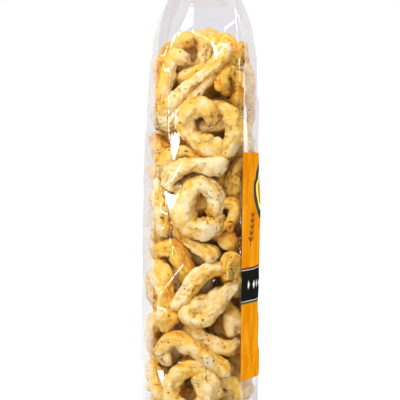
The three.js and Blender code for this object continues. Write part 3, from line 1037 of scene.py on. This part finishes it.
def facets(a, z, rng, half, bulge, sites, step):
    """Relief of a panel pressed into flat facets: the lowest of many tangent planes. Sites are
    the places across it where planes touch, and step is how far apart they are up it."""
    lowest = np.full(a.shape, math.inf)
    for row in range(int(RIDGE_HEIGHT / step) + 1):
        for site in sites:
            at_a = site + rng.uniform(-FACET_STRAY, FACET_STRAY)
            at_z = (row + rng.uniform(-FACET_ROW_STRAY, FACET_ROW_STRAY)) * step
            tilt = rng.uniform(-FACET_TILT, FACET_TILT)
            lean = rng.uniform(-FACET_LEAN, FACET_LEAN)
            plane = (
                bulge * (1 - (at_a / half) ** 2)
                + (lean - 2 * bulge * at_a / half**2) * (a - at_a)
                + tilt * (z - at_z)
                + rng.uniform(*FACET_DEPTHS)
                + FACET_CURVE * np.maximum(0, np.abs(z - at_z) - step) ** 2
            )
            lowest = np.minimum(lowest, plane)
    relief = lowest - bulge * (1 - (a / half) ** 2)
    return np.maximum(relief + FILM_EASE, DEEPEST_FACET)


def inside_polygon(x, z, corners):
    """How far points are inside a convex polygon, in mm."""
    corners = np.array(corners, float)
    middle = corners.mean(0)
    depth = np.full(x.shape, math.inf)
    for a, b in zip(corners, np.roll(corners, -1, axis=0)):
        normal = np.array([a[1] - b[1], b[0] - a[0]])
        normal /= np.linalg.norm(normal)
        if normal @ (middle - a) < 0:
            normal = -normal
        depth = np.minimum(depth, (x - a[0]) * normal[0] + (z - a[1]) * normal[1])
    return depth


def pressed_flat(out, x, z, corners, tip):
    """A panel with one more flat fold in it, which tips back by a slope."""
    deep = inside_polygon(x, z, corners)
    at = np.array(corners, float).mean(0)
    nearest = np.abs(x - at[0]) + np.abs(z - at[1])
    level = out[np.unravel_index(nearest.argmin(), nearest.shape)]
    flat = level + (LIT_SLOPE + LIT_TURN * at[0]) * (x - at[0]) + tip * (z - at[1])
    inside = smooth(deep / FOLD_EDGE + 0.5)
    return out * (1 - inside) + flat * inside


def lip(distance):
    """The pinched edge along a crease."""
    return CREASE_LIP * np.exp(-((distance / LIP_WIDTH) ** 2))


def narrow_panel(side, columns, z, seed):
    """A narrow panel of film as a grid of points, from one crease to the other. Side is -1 for
    the near panel."""
    rng = np.random.RandomState(seed)
    q, z = np.meshgrid(np.linspace(1, -1, columns), z)
    flap = np.clip((1 - np.abs(q)) / FLAP_COLUMNS, 0, 1)
    triangle = np.clip(1 - np.abs(q) / (1 - FLAP_COLUMNS), 0, 1)
    half_triangle = np.maximum(triangle_x(z), APEX_WIDTH * (z < RIDGE_HEIGHT))
    edge = crease_x(z) + (half_triangle - crease_x(z)) * flap
    x = np.sign(q) * edge * (1 - triangle)
    # Below the fold the panel bulges, and above it is two flat halves that meet in a crease
    body = 1 - smooth(share(z, *NARROW_FADE))
    round_form = narrow_bulge(z) * (1 - (x / np.maximum(crease_x(z), 1)) ** 2)
    tent = TENT * flap * (1 - share(z, FOLD_START, FOLD_APEX)) * (side < 0)
    shift = 0
    depth = fold_depth(z) * folded_share(z) * flap
    if side < 0:
        shift = apex_shift(z) * flap
        depth += tipped_in(x + shift, z)
    depth = np.where(z >= RIDGE_HEIGHT, 0, depth)
    relief = facets(x, z, rng, HALF_NARROW, NARROW_BULGE, *NARROW_FACETS) * body
    crinkles = facets(x, z, rng, HALF_NARROW, 0, *CRINKLES)
    relief += crinkles * (0.15 + 0.35 * (1 - body)) * (z < RIDGE_HEIGHT)
    out = round_form * body + tent * (1 - body) + relief
    to_crease = crease_x(z) - np.abs(x)
    out = out * smooth(to_crease / NARROW_EDGE) + lip(to_crease) * body - depth
    if side < 0:
        film_middle = view_to_bag(0, 0, -HALF_WIDE)[0]
        seen_x = x + shift + middle_x(z) - film_middle
        for corners in UPRIGHT_FOLDS:
            tip = (np.mean(corners, 0)[1] - UPRIGHT_LEVEL) * TIP_BELOW
            out = pressed_flat(out, seen_x, z, corners, tip)
        for corners in TIPPED_FOLDS:
            out = pressed_flat(out, seen_x, z, corners, -TIP_SLOPE)
    inset = bottom_inset(z)
    x = (x + shift) * (1 - inset / HALF_NARROW) + middle_x(z)
    return np.stack([x, side * (HALF_WIDE - inset + out), z], 2)


def wide_panel(side, columns, z, away=0.0, reach=1.0):
    """A wide panel of film, side 1 for the front one. The label is the same panel, further out."""
    rng = np.random.RandomState(WIDE_SEED + side)
    u, z = np.meshgrid(np.linspace(-reach, reach, columns) * side, z)
    bulge = wide_bulge(z)
    a = u * HALF_WIDE
    fade = 1 - smooth(share(z, SHOULDER_HEIGHT + 10, RIDGE_HEIGHT))
    relief = facets(a, z, rng, HALF_WIDE, WIDE_BULGE, *WIDE_FACETS)
    to_crease = (1 - np.abs(u)) * HALF_WIDE
    relief = relief * smooth(to_crease / WIDE_EDGE) * (0.3 + 0.7 * fade) * (z < RIDGE_HEIGHT)
    slope = 2 * bulge * u / HALF_WIDE
    long = np.hypot(1, slope)
    out = crease_x(z) + bulge * (1 - u * u) + relief + lip(to_crease) * fade * WIDE_LIP
    inset = bottom_inset(z)
    x = side * (out - inset + away / long)
    y = u * (HALF_WIDE - inset) + away * slope / long
    return np.stack([x + middle_x(z), y, z], 2)


def film_levels():
    """Heights of the film's rows: closer together in the rounded foot."""
    foot = BOTTOM_ROUND * np.array([0, 0.03, 0.1, 0.22, 0.4, 0.65])
    body = np.linspace(BOTTOM_ROUND, RIDGE_HEIGHT - 0.3, FILM_ROWS)
    return np.concatenate([foot, body, [RIDGE_HEIGHT, RIDGE_HEIGHT + 1]])


def close_end(points, faces, ring, start, up):
    """Closes an end of the film with rings of faces that shrink to a point."""
    count = len(ring)
    middle = ring.mean(0)
    outer = range(start, start + count)
    for shrink in END_SHRINKS:
        here = len(points)
        points.extend(middle + (ring - middle) * shrink)
        inner = range(here, here + count)
        for i in range(count):
            quad = (outer[i], outer[(i + 1) % count], inner[(i + 1) % count], inner[i])
            faces.append(quad if up else quad[::-1])
        outer = inner
    points.append(middle)
    hub = len(points) - 1
    for i in range(count):
        corner = (outer[i], outer[(i + 1) % count], hub)
        faces.append(corner if up else corner[::-1])


def build_film():
    """The film of the whole bag as one closed surface."""
    z = film_levels()
    # Counterclockwise from the front crease at -Y, each panel without its last column
    panels = (
        wide_panel(1, WIDE_COLUMNS, z),
        narrow_panel(1, FAR_COLUMNS, z, seed=FAR_SEED),
        wide_panel(-1, WIDE_COLUMNS, z),
        narrow_panel(-1, NEAR_COLUMNS, z, seed=NEAR_SEED)[:, ::-1],
    )
    rings = np.concatenate([panel[:, :-1] for panel in panels], 1)
    rows, columns = rings.shape[:2]
    points = list(rings.reshape(-1, 3))
    faces = grid_faces(rows, columns)
    close_end(points, faces, rings[0], 0, up=False)
    close_end(points, faces, rings[-1], (rows - 1) * columns, up=True)
    film = new_object("film", points, faces)
    shade_smooth(film)
    return film


def film_material(name, look):
    """Clear film: it lets most light through, veils a little at the edges and mirrors lamps."""
    material, t = new_material(name)
    clear = t.node("ShaderNodeBsdfTransparent", Color=look.tint)
    ripple = t.noise(t.object_place(), 420)
    bump = t.node("ShaderNodeBump", Height=ripple, Strength=0.1, Distance=0.0004)
    gloss = t.node("ShaderNodeBsdfAnisotropic", Color=(1, 1, 1, 1), Roughness=0.04, Normal=bump)
    haze = t.node("ShaderNodeBsdfDiffuse", Color=look.haze)
    glancing = t.node("ShaderNodeLayerWeight", out="Facing", Blend=0.5)
    veiled = t.node("ShaderNodeMixShader", i0=glancing**2.5 * 0.3, i1=clear, i2=haze)
    mirror = t.maths("MINIMUM", t.node("ShaderNodeFresnel", IOR=1.5) * 1.5, 0.34)
    surface = t.node("ShaderNodeMixShader", i0=mirror, i1=veiled, i2=gloss)
    t.node("ShaderNodeOutputMaterial", Surface=surface)
    return material


RIBS = 8
RIB_PITCH = 1.3
RIB_RADIUS = 0.5
FIRST_RIB = 1.4  # above the ridge


def seal_group():
    """Crimps of the seal: thin ribs repeated up a strip."""
    t, given = node_group("seal_crimps", {
        "Ribs": "Int", "Pitch": "Float", "Width": "Float", "Thickness": "Float",
        "Start": "Vector", "Material": "Material",
    })
    step = t.node("ShaderNodeCombineXYZ", Z=given["Pitch"])
    line = t.node("GeometryNodeMeshLine", Count=given["Ribs"], Start_Location=given["Start"], Offset=step)
    bar = t.node("GeometryNodeMeshCylinder", Vertices=8, Side_Segments=24, Radius=given["Thickness"],
                 Depth=given["Width"])
    lying = t.node("GeometryNodeTransform", Geometry=bar, Rotation=(math.pi / 2, 0, 0))
    ribs = t.node("GeometryNodeInstanceOnPoints", Points=line, Instance=lying)
    both = t.node("GeometryNodeJoinGeometry", Geometry=ribs)
    t.tree.links.new(given["Geometry"].socket, both.socket.node.inputs[0])
    end_group(t, both, given["Material"])
    return t.tree


def seal_strip():
    """The flat fin over the ridge that the crimps stand on."""
    half, thick = HALF_WIDE - 0.3, SEAL_THICKNESS * 0.25
    corners = ((-1, -1), (1, -1), (1, 1), (-1, 1))
    middle = middle_x(RIDGE_HEIGHT)
    points = [(middle + sx * thick, sy * half, z) for z in (RIDGE_HEIGHT, BAG_HEIGHT) for sx, sy in corners]
    sides = [(i, (i + 1) % 4, 4 + (i + 1) % 4, 4 + i) for i in range(4)]
    return new_object("seal_strip", points, [(3, 2, 1, 0), (4, 5, 6, 7), *sides])


# ---------------------------------------------------------------- label

LABEL_COLUMNS = 90
LABEL_ROWS = 170
LABEL_GAP = 0.35
LABEL_THICKNESS = 0.3
MEDALLION_HEIGHT = 162.6
MEDALLION_RADIUS = 21.7
MEDALLION_RIM = 5.8
DRAWN_RING = (6.5, 12)  # inner and outer radius of the ring drawn in it, with its outline
DRAWN_DOUGH = (7.4, 11.1)  # and without
SPRIG_ACROSS, SPRIG_HEIGHT = 27, 134
LEAF_PAIRS = 5
LEAF_PITCH = 4.2
LEAF_SIZE = 1.25
BAND_LOW, BAND_HIGH = 83.3, 107.5
STRIPE = 0.7  # width of the stripes along its edges
WHITE_LINE = (0.9, 1.3)  # from where to where inside each edge a white line runs
LOZENGE_PITCH = 7.5
LOZENGE_SIZE = 1.7
LOZENGE_ROW = 31  # half the length of their row
PRINT_EDGE = 0.2  # softness of the print's edges


def build_label():
    """A thin closed sheet that follows the front film, with its print's coordinates on it."""
    reach = 1 - LABEL_MARGIN / HALF_WIDE
    levels = np.linspace(LABEL_BOTTOM, LABEL_TOP, LABEL_ROWS)
    outer = wide_panel(1, LABEL_COLUMNS, levels, LABEL_GAP + LABEL_THICKNESS, reach)
    inner = wide_panel(1, LABEL_COLUMNS, levels, LABEL_GAP, reach)
    rings = np.concatenate([outer, inner[:, ::-1]], 1)
    rows, columns = rings.shape[:2]
    faces = grid_faces(rows, columns)
    for row, up in ((0, False), (rows - 1, True)):
        for i in range(LABEL_COLUMNS - 1):
            a = row * columns + i
            b = row * columns + columns - 1 - i
            quad = (a, a + 1, b - 1, b)
            faces.append(quad if up else quad[::-1])
    label = new_object("label", rings.reshape(-1, 3), faces)
    shade_smooth(label)
    u = np.linspace(-reach, reach, LABEL_COLUMNS) * HALF_WIDE
    store(label, "across", np.tile(np.concatenate([u, u[::-1]]), rows))
    store(label, "up", np.repeat(levels, columns))
    return label


def label_material(colours):
    """The label's print: plain fields of colour, placed by mm across and up the panel, over a ground with a
    painted sheen.
    """
    material, t = new_material("label_print")
    across, up = t.attribute("across"), t.attribute("up")

    def below(value, limit):
        return t.ramp(value, limit + PRINT_EDGE, limit - PRINT_EDGE)

    def between(value, low, high):
        return below(value, high) * (1 - below(value, low))

    # Its ground has a painted sheen: lighter orange in upright streaks
    sheen_streaks = t.noise(t.node("ShaderNodeCombineXYZ", X=across * 0.16, Y=up * 0.03), 1.0)
    base = t.mix(t.ramp(sheen_streaks, 0.35, 0.65), colours.orange, colours.orange_sheen)
    # The medallion: a yellow disc in a slate rim, with a ring of dough drawn in it
    from_middle = t.maths("SQRT", across * across + (up - MEDALLION_HEIGHT) ** 2.0)
    printed = [
        (below(from_middle, MEDALLION_RADIUS), colours.slate),
        (below(from_middle, MEDALLION_RADIUS - MEDALLION_RIM), colours.yellow),
        (between(from_middle, *DRAWN_RING), colours.brown),
        (between(from_middle, *DRAWN_DOUGH), colours.orange),
    ]
    # A plain sprig at each side
    for side in (-1, 1):
        z = up - SPRIG_HEIGHT
        x = (across - side * SPRIG_ACROSS) * side + z * 0.25
        printed.append((between(x, -0.5, 0.5) * between(z, -12, 11), colours.brown))
        for pair in range(LEAF_PAIRS):
            leaf_z = z - (LEAF_PITCH * pair - 8)
            for way in (-1, 1):
                along = x * (way * 0.75) + leaf_z * 0.65
                aside = x * (way * -0.65) + leaf_z * 0.75
                oval = t.maths("SQRT", ((along - 2.4) * 0.5) ** 2.0 + (aside * 1.1) ** 2.0)
                printed.append((below(oval, LEAF_SIZE), colours.brown))
    # The dark band between thin stripes, bowed a little
    bowed = up + across * across * 0.0003
    printed += [
        (between(bowed, BAND_HIGH, BAND_HIGH + STRIPE), colours.red),
        (between(bowed, BAND_LOW - STRIPE, BAND_LOW), colours.green),
        (between(bowed, BAND_LOW, BAND_HIGH), colours.black),
        (between(bowed, BAND_HIGH - WHITE_LINE[1], BAND_HIGH - WHITE_LINE[0]), colours.white),
        (between(bowed, BAND_LOW + WHITE_LINE[0], BAND_LOW + WHITE_LINE[1]), colours.white),
    ]
    # A row of lozenges along the band
    cell = t.maths("PINGPONG", across, LOZENGE_PITCH / 2)
    lozenge = t.maths("ABSOLUTE", up - (BAND_LOW + BAND_HIGH) / 2) * 0.55 + cell
    row = below(t.maths("ABSOLUTE", across), LOZENGE_ROW)
    printed.append((below(lozenge, LOZENGE_SIZE) * row, colours.white))
    for mask, ink in printed:
        base = t.mix(mask, base, ink)
    surface = t.node("ShaderNodeBsdfPrincipled", Base_Color=base, Roughness=0.5, Specular_IOR_Level=0.0)
    t.node("ShaderNodeOutputMaterial", Surface=surface)
    return material


# ---------------------------------------------------------------- stage


FLOOR_LEVEL = -0.2  # just under the bag
FLOOR_CORNERS = 48


def area_light(name, place, aim, size, power):
    """A lamp that shines from one place at another, both in metres."""
    data = bpy.data.lights.new(name, "AREA")
    data.shape = "RECTANGLE"
    data.size, data.size_y = size
    data.energy = power
    lamp = bpy.data.objects.new(name, data)
    lamp.location = place
    lamp.rotation_euler = (Vector(aim) - Vector(place)).to_track_quat("-Z", "Y").to_euler()
    bpy.context.scene.collection.objects.link(lamp)


def build_world(stage):
    """White to the camera. Gloss sees a studio that is darker on the camera's side, and the soft
    light that fills the room is stronger behind the bag's right."""
    world = bpy.data.worlds.new("studio")
    world.use_nodes = True
    world.node_tree.nodes.clear()
    bpy.context.scene.world = world
    t = Tree(world.node_tree)
    camera = t.node("ShaderNodeLightPath", out="Is Camera Ray")
    glossy = camera.other("Is Glossy Ray")
    way = t.node("ShaderNodeSeparateXYZ", Vector=t.node("ShaderNodeTexCoord", out="Generated"))
    mirrored = 0.01 + t.ramp(way.other("Y"), -0.9, 0.3) * 0.79
    behind = way * 0.8 + way.other("Y") * 0.6
    fill = stage.fill + t.ramp(behind, 0.1, 0.9) * stage.side_fill
    level = t.maths("MAXIMUM", camera, glossy * mirrored + (1 - glossy) * (1 - camera) * fill)
    glow = t.node("ShaderNodeBackground", Color=(1, 1, 1, 1), Strength=level)
    t.node("ShaderNodeOutputWorld", Surface=glow)


def floor_material(stage):
    """The camera sees the floor nearly white, it lights the bag a little, and the film mirrors
    less of it."""
    material, t = new_material("floor_white")
    tone = t.mix(t.noise(t.object_place(), 6), colour((250, 250, 250)), colour((254, 254, 254)))
    camera = t.node("ShaderNodeLightPath", out="Is Camera Ray")
    matte = t.node("ShaderNodeBsdfDiffuse", Color=tone)
    glow = t.node("ShaderNodeEmission", Color=tone, Strength=1.25)
    seen = t.node("ShaderNodeMixShader", i0=stage.floor_shade, i1=glow, i2=matte)
    grey = t.node("ShaderNodeBsdfDiffuse", Color=colour((200, 200, 200)))
    dark = t.node("ShaderNodeBsdfDiffuse", Color=colour((40, 40, 40)))
    across = t.node("ShaderNodeSeparateXYZ", Vector=t.object_place())
    in_front = t.ramp(across.other("Y"), 0.1, -0.25)
    unseen = t.node("ShaderNodeMixShader", i0=camera.other("Is Glossy Ray") * in_front, i1=grey, i2=dark)
    white = t.node("ShaderNodeMixShader", i0=camera, i1=unseen, i2=seen)
    t.node("ShaderNodeOutputMaterial", Surface=white)
    return material


def build_camera():
    """The camera that the photograph was taken with, as far as the picture tells."""
    data = bpy.data.cameras.new("camera")
    data.lens = LENS
    data.sensor_width = SENSOR
    data.clip_start = 0.05
    camera = bpy.data.objects.new("camera", data)
    camera.location = (CAMERA_RIGHT * MM, -CAMERA_AWAY * MM, CAMERA_HEIGHT * MM)
    aim = Vector((AIM_RIGHT * MM, 0, AIM_HEIGHT * MM)) - camera.location
    camera.rotation_euler = aim.to_track_quat("-Z", "Y").to_euler()
    bpy.context.scene.collection.objects.link(camera)
    bpy.context.scene.camera = camera


def build_stage(stage):
    """A round floor, the light of the room, three lamps and the camera."""
    half, rim = stage.floor_size / 2 / MM, FLOOR_CORNERS
    turns = np.linspace(0, 2 * math.pi, rim, endpoint=False)
    edge = [(half * math.cos(a), half * math.sin(a), FLOOR_LEVEL) for a in turns]
    faces = [(0, 1 + i, 1 + (i + 1) % rim) for i in range(rim)]
    floor = new_object("floor", [(0, 0, FLOOR_LEVEL), *edge], faces)
    floor.data.materials.append(floor_material(stage))
    build_world(stage)
    area_light("tall lamp", (-0.491, -1.095, 0.25), (0, 0, 0.19), (0.085, 1.3), stage.tall_lamp)
    area_light("high lamp", (-0.464, -0.775, 1.38), (0, 0, 0.2), (0.45, 0.8), stage.high_lamp)
    area_light("side lamp", (1.05, 0.6, 0.25), (0, 0, 0.18), (0.25, 1.0), stage.side_lamp)
    build_camera()
    bpy.context.scene.view_settings.view_transform = "Standard"


# ---------------------------------------------------------------- properties


def length(name, description, default, top=1.0):
    """A property that is a length."""
    return FloatProperty(name=name, description=description, default=default, min=0, max=top,
                         unit="LENGTH", precision=5)


def paint(name, description, rgb):
    """A property that is a colour."""
    return FloatVectorProperty(name=name, description=description, default=colour(rgb), size=4,
                               min=0, max=1, subtype="COLOR")


class TaralliSizes(bpy.types.PropertyGroup):
    near_sides: IntProperty(name="Near sides", description="Faces round a rope in front", default=40)
    far_sides: IntProperty(name="Far sides", description="Faces round a rope further in", default=28)
    near_step: length("Near step", "Length of a face along a rope in front", 0.0008)
    far_step: length("Far step", "Length of a face along a rope further in", 0.0012)
    loose: IntProperty(name="Loose rings", description="Rings behind those in front", default=46)
    rounds: IntProperty(name="Rounds", description="Steps in which the rings part", default=150)
    seed: IntProperty(name="Seed", description="Seed of every random draw", default=7)
    lump_size: length("Lump size", "Size of the soft lumps in the dough", 0.009)
    lump_height: length("Lump height", "Height of the lumps", 0.0042)
    fold_length: length("Fold length", "Length of the ridges along a rope", 0.016)
    fold_height: length("Fold height", "Height of those ridges", 0.0065)
    grain_size: length("Grain size", "Size of the fine relief", 0.0026)
    grain_height: length("Grain height", "Height of the fine relief", 0.0019)


class SeedSizes(bpy.types.PropertyGroup):
    spacing: length("Spacing", "Least distance between fennel seeds", 0.007)
    density: FloatProperty(name="Density", description="Seeds in a square metre of crust", default=450)
    long: length("Length", "Length of a seed", 0.0032)
    wide: length("Width", "Width of a seed", 0.0011)


class CrustColours(bpy.types.PropertyGroup):
    # pale also paints the highlight on raised places and on one flat face, and baked the shade in hollows
    # and on the other face
    pale: paint("Pale", "Crust that stayed pale", (255, 243, 199))
    golden: paint("Golden", "Most of the crust", (249, 203, 84))
    baked: paint("Baked", "Crust that browned", (230, 150, 42))
    speck: paint("Speck", "Specks and pits", (100, 60, 20))
    crack: paint("Crack", "Fine cracks", (146, 92, 32))
    seeds: paint("Seeds", "Fennel seeds", (116, 92, 40))
    seeds_dark: paint("Dark seeds", "Darker parts of the seeds", (56, 50, 22))


class FilmLook(bpy.types.PropertyGroup):
    tint: paint("Tint", "What the film lets through", (246, 245, 247))
    haze: paint("Haze", "What the film scatters", (246, 244, 248))


class LabelColours(bpy.types.PropertyGroup):
    orange: paint("Orange", "The label's ground", (222, 131, 4))
    orange_sheen: paint("Light orange", "The ground where it is lighter", (235, 156, 28))
    # The lighter orange is a painted sheen, laid in upright streaks
    yellow: paint("Yellow", "The medallion", (244, 234, 92))
    slate: paint("Slate", "The medallion's rim", (52, 68, 80))
    brown: paint("Brown", "Sprigs and ring", (140, 78, 30))
    black: paint("Black", "The band", (26, 28, 24))
    white: paint("White", "Thin lines and lozenges", (238, 238, 232))
    green: paint("Green", "Lower stripe", (20, 120, 60))
    red: paint("Red", "Upper stripe", (190, 40, 30))


class StageLook(bpy.types.PropertyGroup):
    floor_size: length("Floor size", "Width of the floor", 6.0, top=20.0)
    floor_shade: FloatProperty(name="Floor shade", description="Shadow on the floor", default=0.3)
    fill: FloatProperty(name="Fill", description="Strength of the light from all sides", default=0.915)
    side_fill: FloatProperty(name="Side fill", description="More light from behind the right", default=0.28)
    tall_lamp: FloatProperty(name="Tall lamp", description="Strip at the left", default=6, unit="POWER")
    high_lamp: FloatProperty(name="High lamp", description="Above the camera", default=24.5, unit="POWER")
    side_lamp: FloatProperty(name="Side lamp", description="Behind the right", default=3.2, unit="POWER")


# ---------------------------------------------------------------- operators


class MakeStage(bpy.types.Operator):
    """Sets up the floor, the light and the camera"""

    bl_idname = "taralli.make_stage"
    bl_label = "Stage"

    def execute(self, context):
        build_stage(context.scene.stage_look)
        return {"FINISHED"}


class MakeTaralli(bpy.types.Operator):
    """Bakes the taralli that fill the bag, with their seeds"""

    bl_idname = "taralli.make_taralli"
    bl_label = "Taralli"

    def execute(self, context):
        sizes, seeds = context.scene.taralli_sizes, context.scene.seed_sizes
        ropes, rng = all_ropes(sizes)
        colours = context.scene.crust_colours
        crust, fennel = crust_material(colours), seed_material(colours)
        dough, strewn = dough_group(), seed_group()
        relief = {size: getattr(sizes, size.lower().replace(" ", "_")) for size in RELIEF}
        near = [rope for rope in ropes if rope.held]
        far = [rope for rope in ropes if not rope.held]
        batches = [("near", near[i::3], sizes.near_sides, sizes.near_step) for i in range(3)]
        batches += [("inner", far[i::2], sizes.far_sides, sizes.far_step) for i in range(2)]
        for number, (name, batch, sides, step) in enumerate(batches, 1):
            lines = rope_lines("lines", batch, rng, step / MM)
            taralli = grown(f"taralli_{name}_{number}", lines, dough, {
                **relief, "Sides": sides, "Material": crust,
            })
            bpy.data.objects.remove(lines)
            press_flat(taralli)
            fennels = grown(f"fennel_{name}_{number}", taralli, strewn, {
                "Spacing": seeds.spacing, "Density": seeds.density, "Length": seeds.long,
                "Width": seeds.wide, "Seed": number, "Material": fennel,
            })
            keep(taralli, "crust", "bag")
            keep(fennels, "crust")
        return {"FINISHED"}


class MakeFilm(bpy.types.Operator):
    """Folds the clear film of the bag"""

    bl_idname = "taralli.make_film"
    bl_label = "Film"

    def execute(self, context):
        film = build_film()
        film.data.materials.append(film_material("clear_film", context.scene.film_look))
        keep(film, "film", "bag")
        return {"FINISHED"}


class MakeSeal(bpy.types.Operator):
    """Crimps the flat seal over the bag's ridge"""

    bl_idname = "taralli.make_seal"
    bl_label = "Seal"

    def execute(self, context):
        strip = seal_strip()
        material = film_material("seal_film", context.scene.film_look)
        middle = middle_x(RIDGE_HEIGHT)
        seal = grown("seal", strip, seal_group(), {
            "Ribs": RIBS, "Pitch": RIB_PITCH * MM, "Width": (2 * HALF_WIDE - 1) * MM,
            "Thickness": RIB_RADIUS * MM, "Material": material,
            "Start": (middle * MM, 0, (RIDGE_HEIGHT + FIRST_RIB) * MM),
        })
        bpy.data.objects.remove(strip)
        keep(seal, "film", "bag")
        return {"FINISHED"}


class MakeLabel(bpy.types.Operator):
    """Prints the label and wraps it over the front panel"""

    bl_idname = "taralli.make_label"
    bl_label = "Label"

    def execute(self, context):
        label = build_label()
        label.data.materials.append(label_material(context.scene.label_colours))
        keep(label, "label_paper", "label")
        return {"FINISHED"}


STEPS = (MakeStage, MakeTaralli, MakeFilm, MakeSeal, MakeLabel)
GROUPS = {
    "taralli_sizes": TaralliSizes, "seed_sizes": SeedSizes, "crust_colours": CrustColours,
    "film_look": FilmLook, "label_colours": LabelColours, "stage_look": StageLook,
}


class TaralliPanel(bpy.types.Panel):
    """The bag's pieces, in the order in which they are made"""

    bl_idname = "VIEW3D_PT_taralli"
    bl_label = "Bag of taralli"
    bl_space_type = "VIEW_3D"
    bl_region_type = "UI"
    bl_category = "Taralli"

    def draw(self, context):
        for step in STEPS:
            self.layout.operator(step.bl_idname)
        for name, group in GROUPS.items():
            box = self.layout.box()
            for field in group.__annotations__:
                box.prop(getattr(context.scene, name), field)


def register():
    """Adds the properties, the operators and the panel."""
    for item in (*GROUPS.values(), *STEPS, TaralliPanel):
        bpy.utils.register_class(item)
    for name, group in GROUPS.items():
        setattr(bpy.types.Scene, name, PointerProperty(type=group))


def unregister():
    """Takes them out again."""
    for name in GROUPS:
        delattr(bpy.types.Scene, name)
    for item in reversed((*GROUPS.values(), *STEPS, TaralliPanel)):
        bpy.utils.unregister_class(item)


def main():
    """Makes every piece."""
    register()
    bpy.ops.taralli.make_stage()
    bpy.ops.taralli.make_taralli()
    bpy.ops.taralli.make_film()
    bpy.ops.taralli.make_seal()
    bpy.ops.taralli.make_label()


if __name__ == "__main__":
    main()
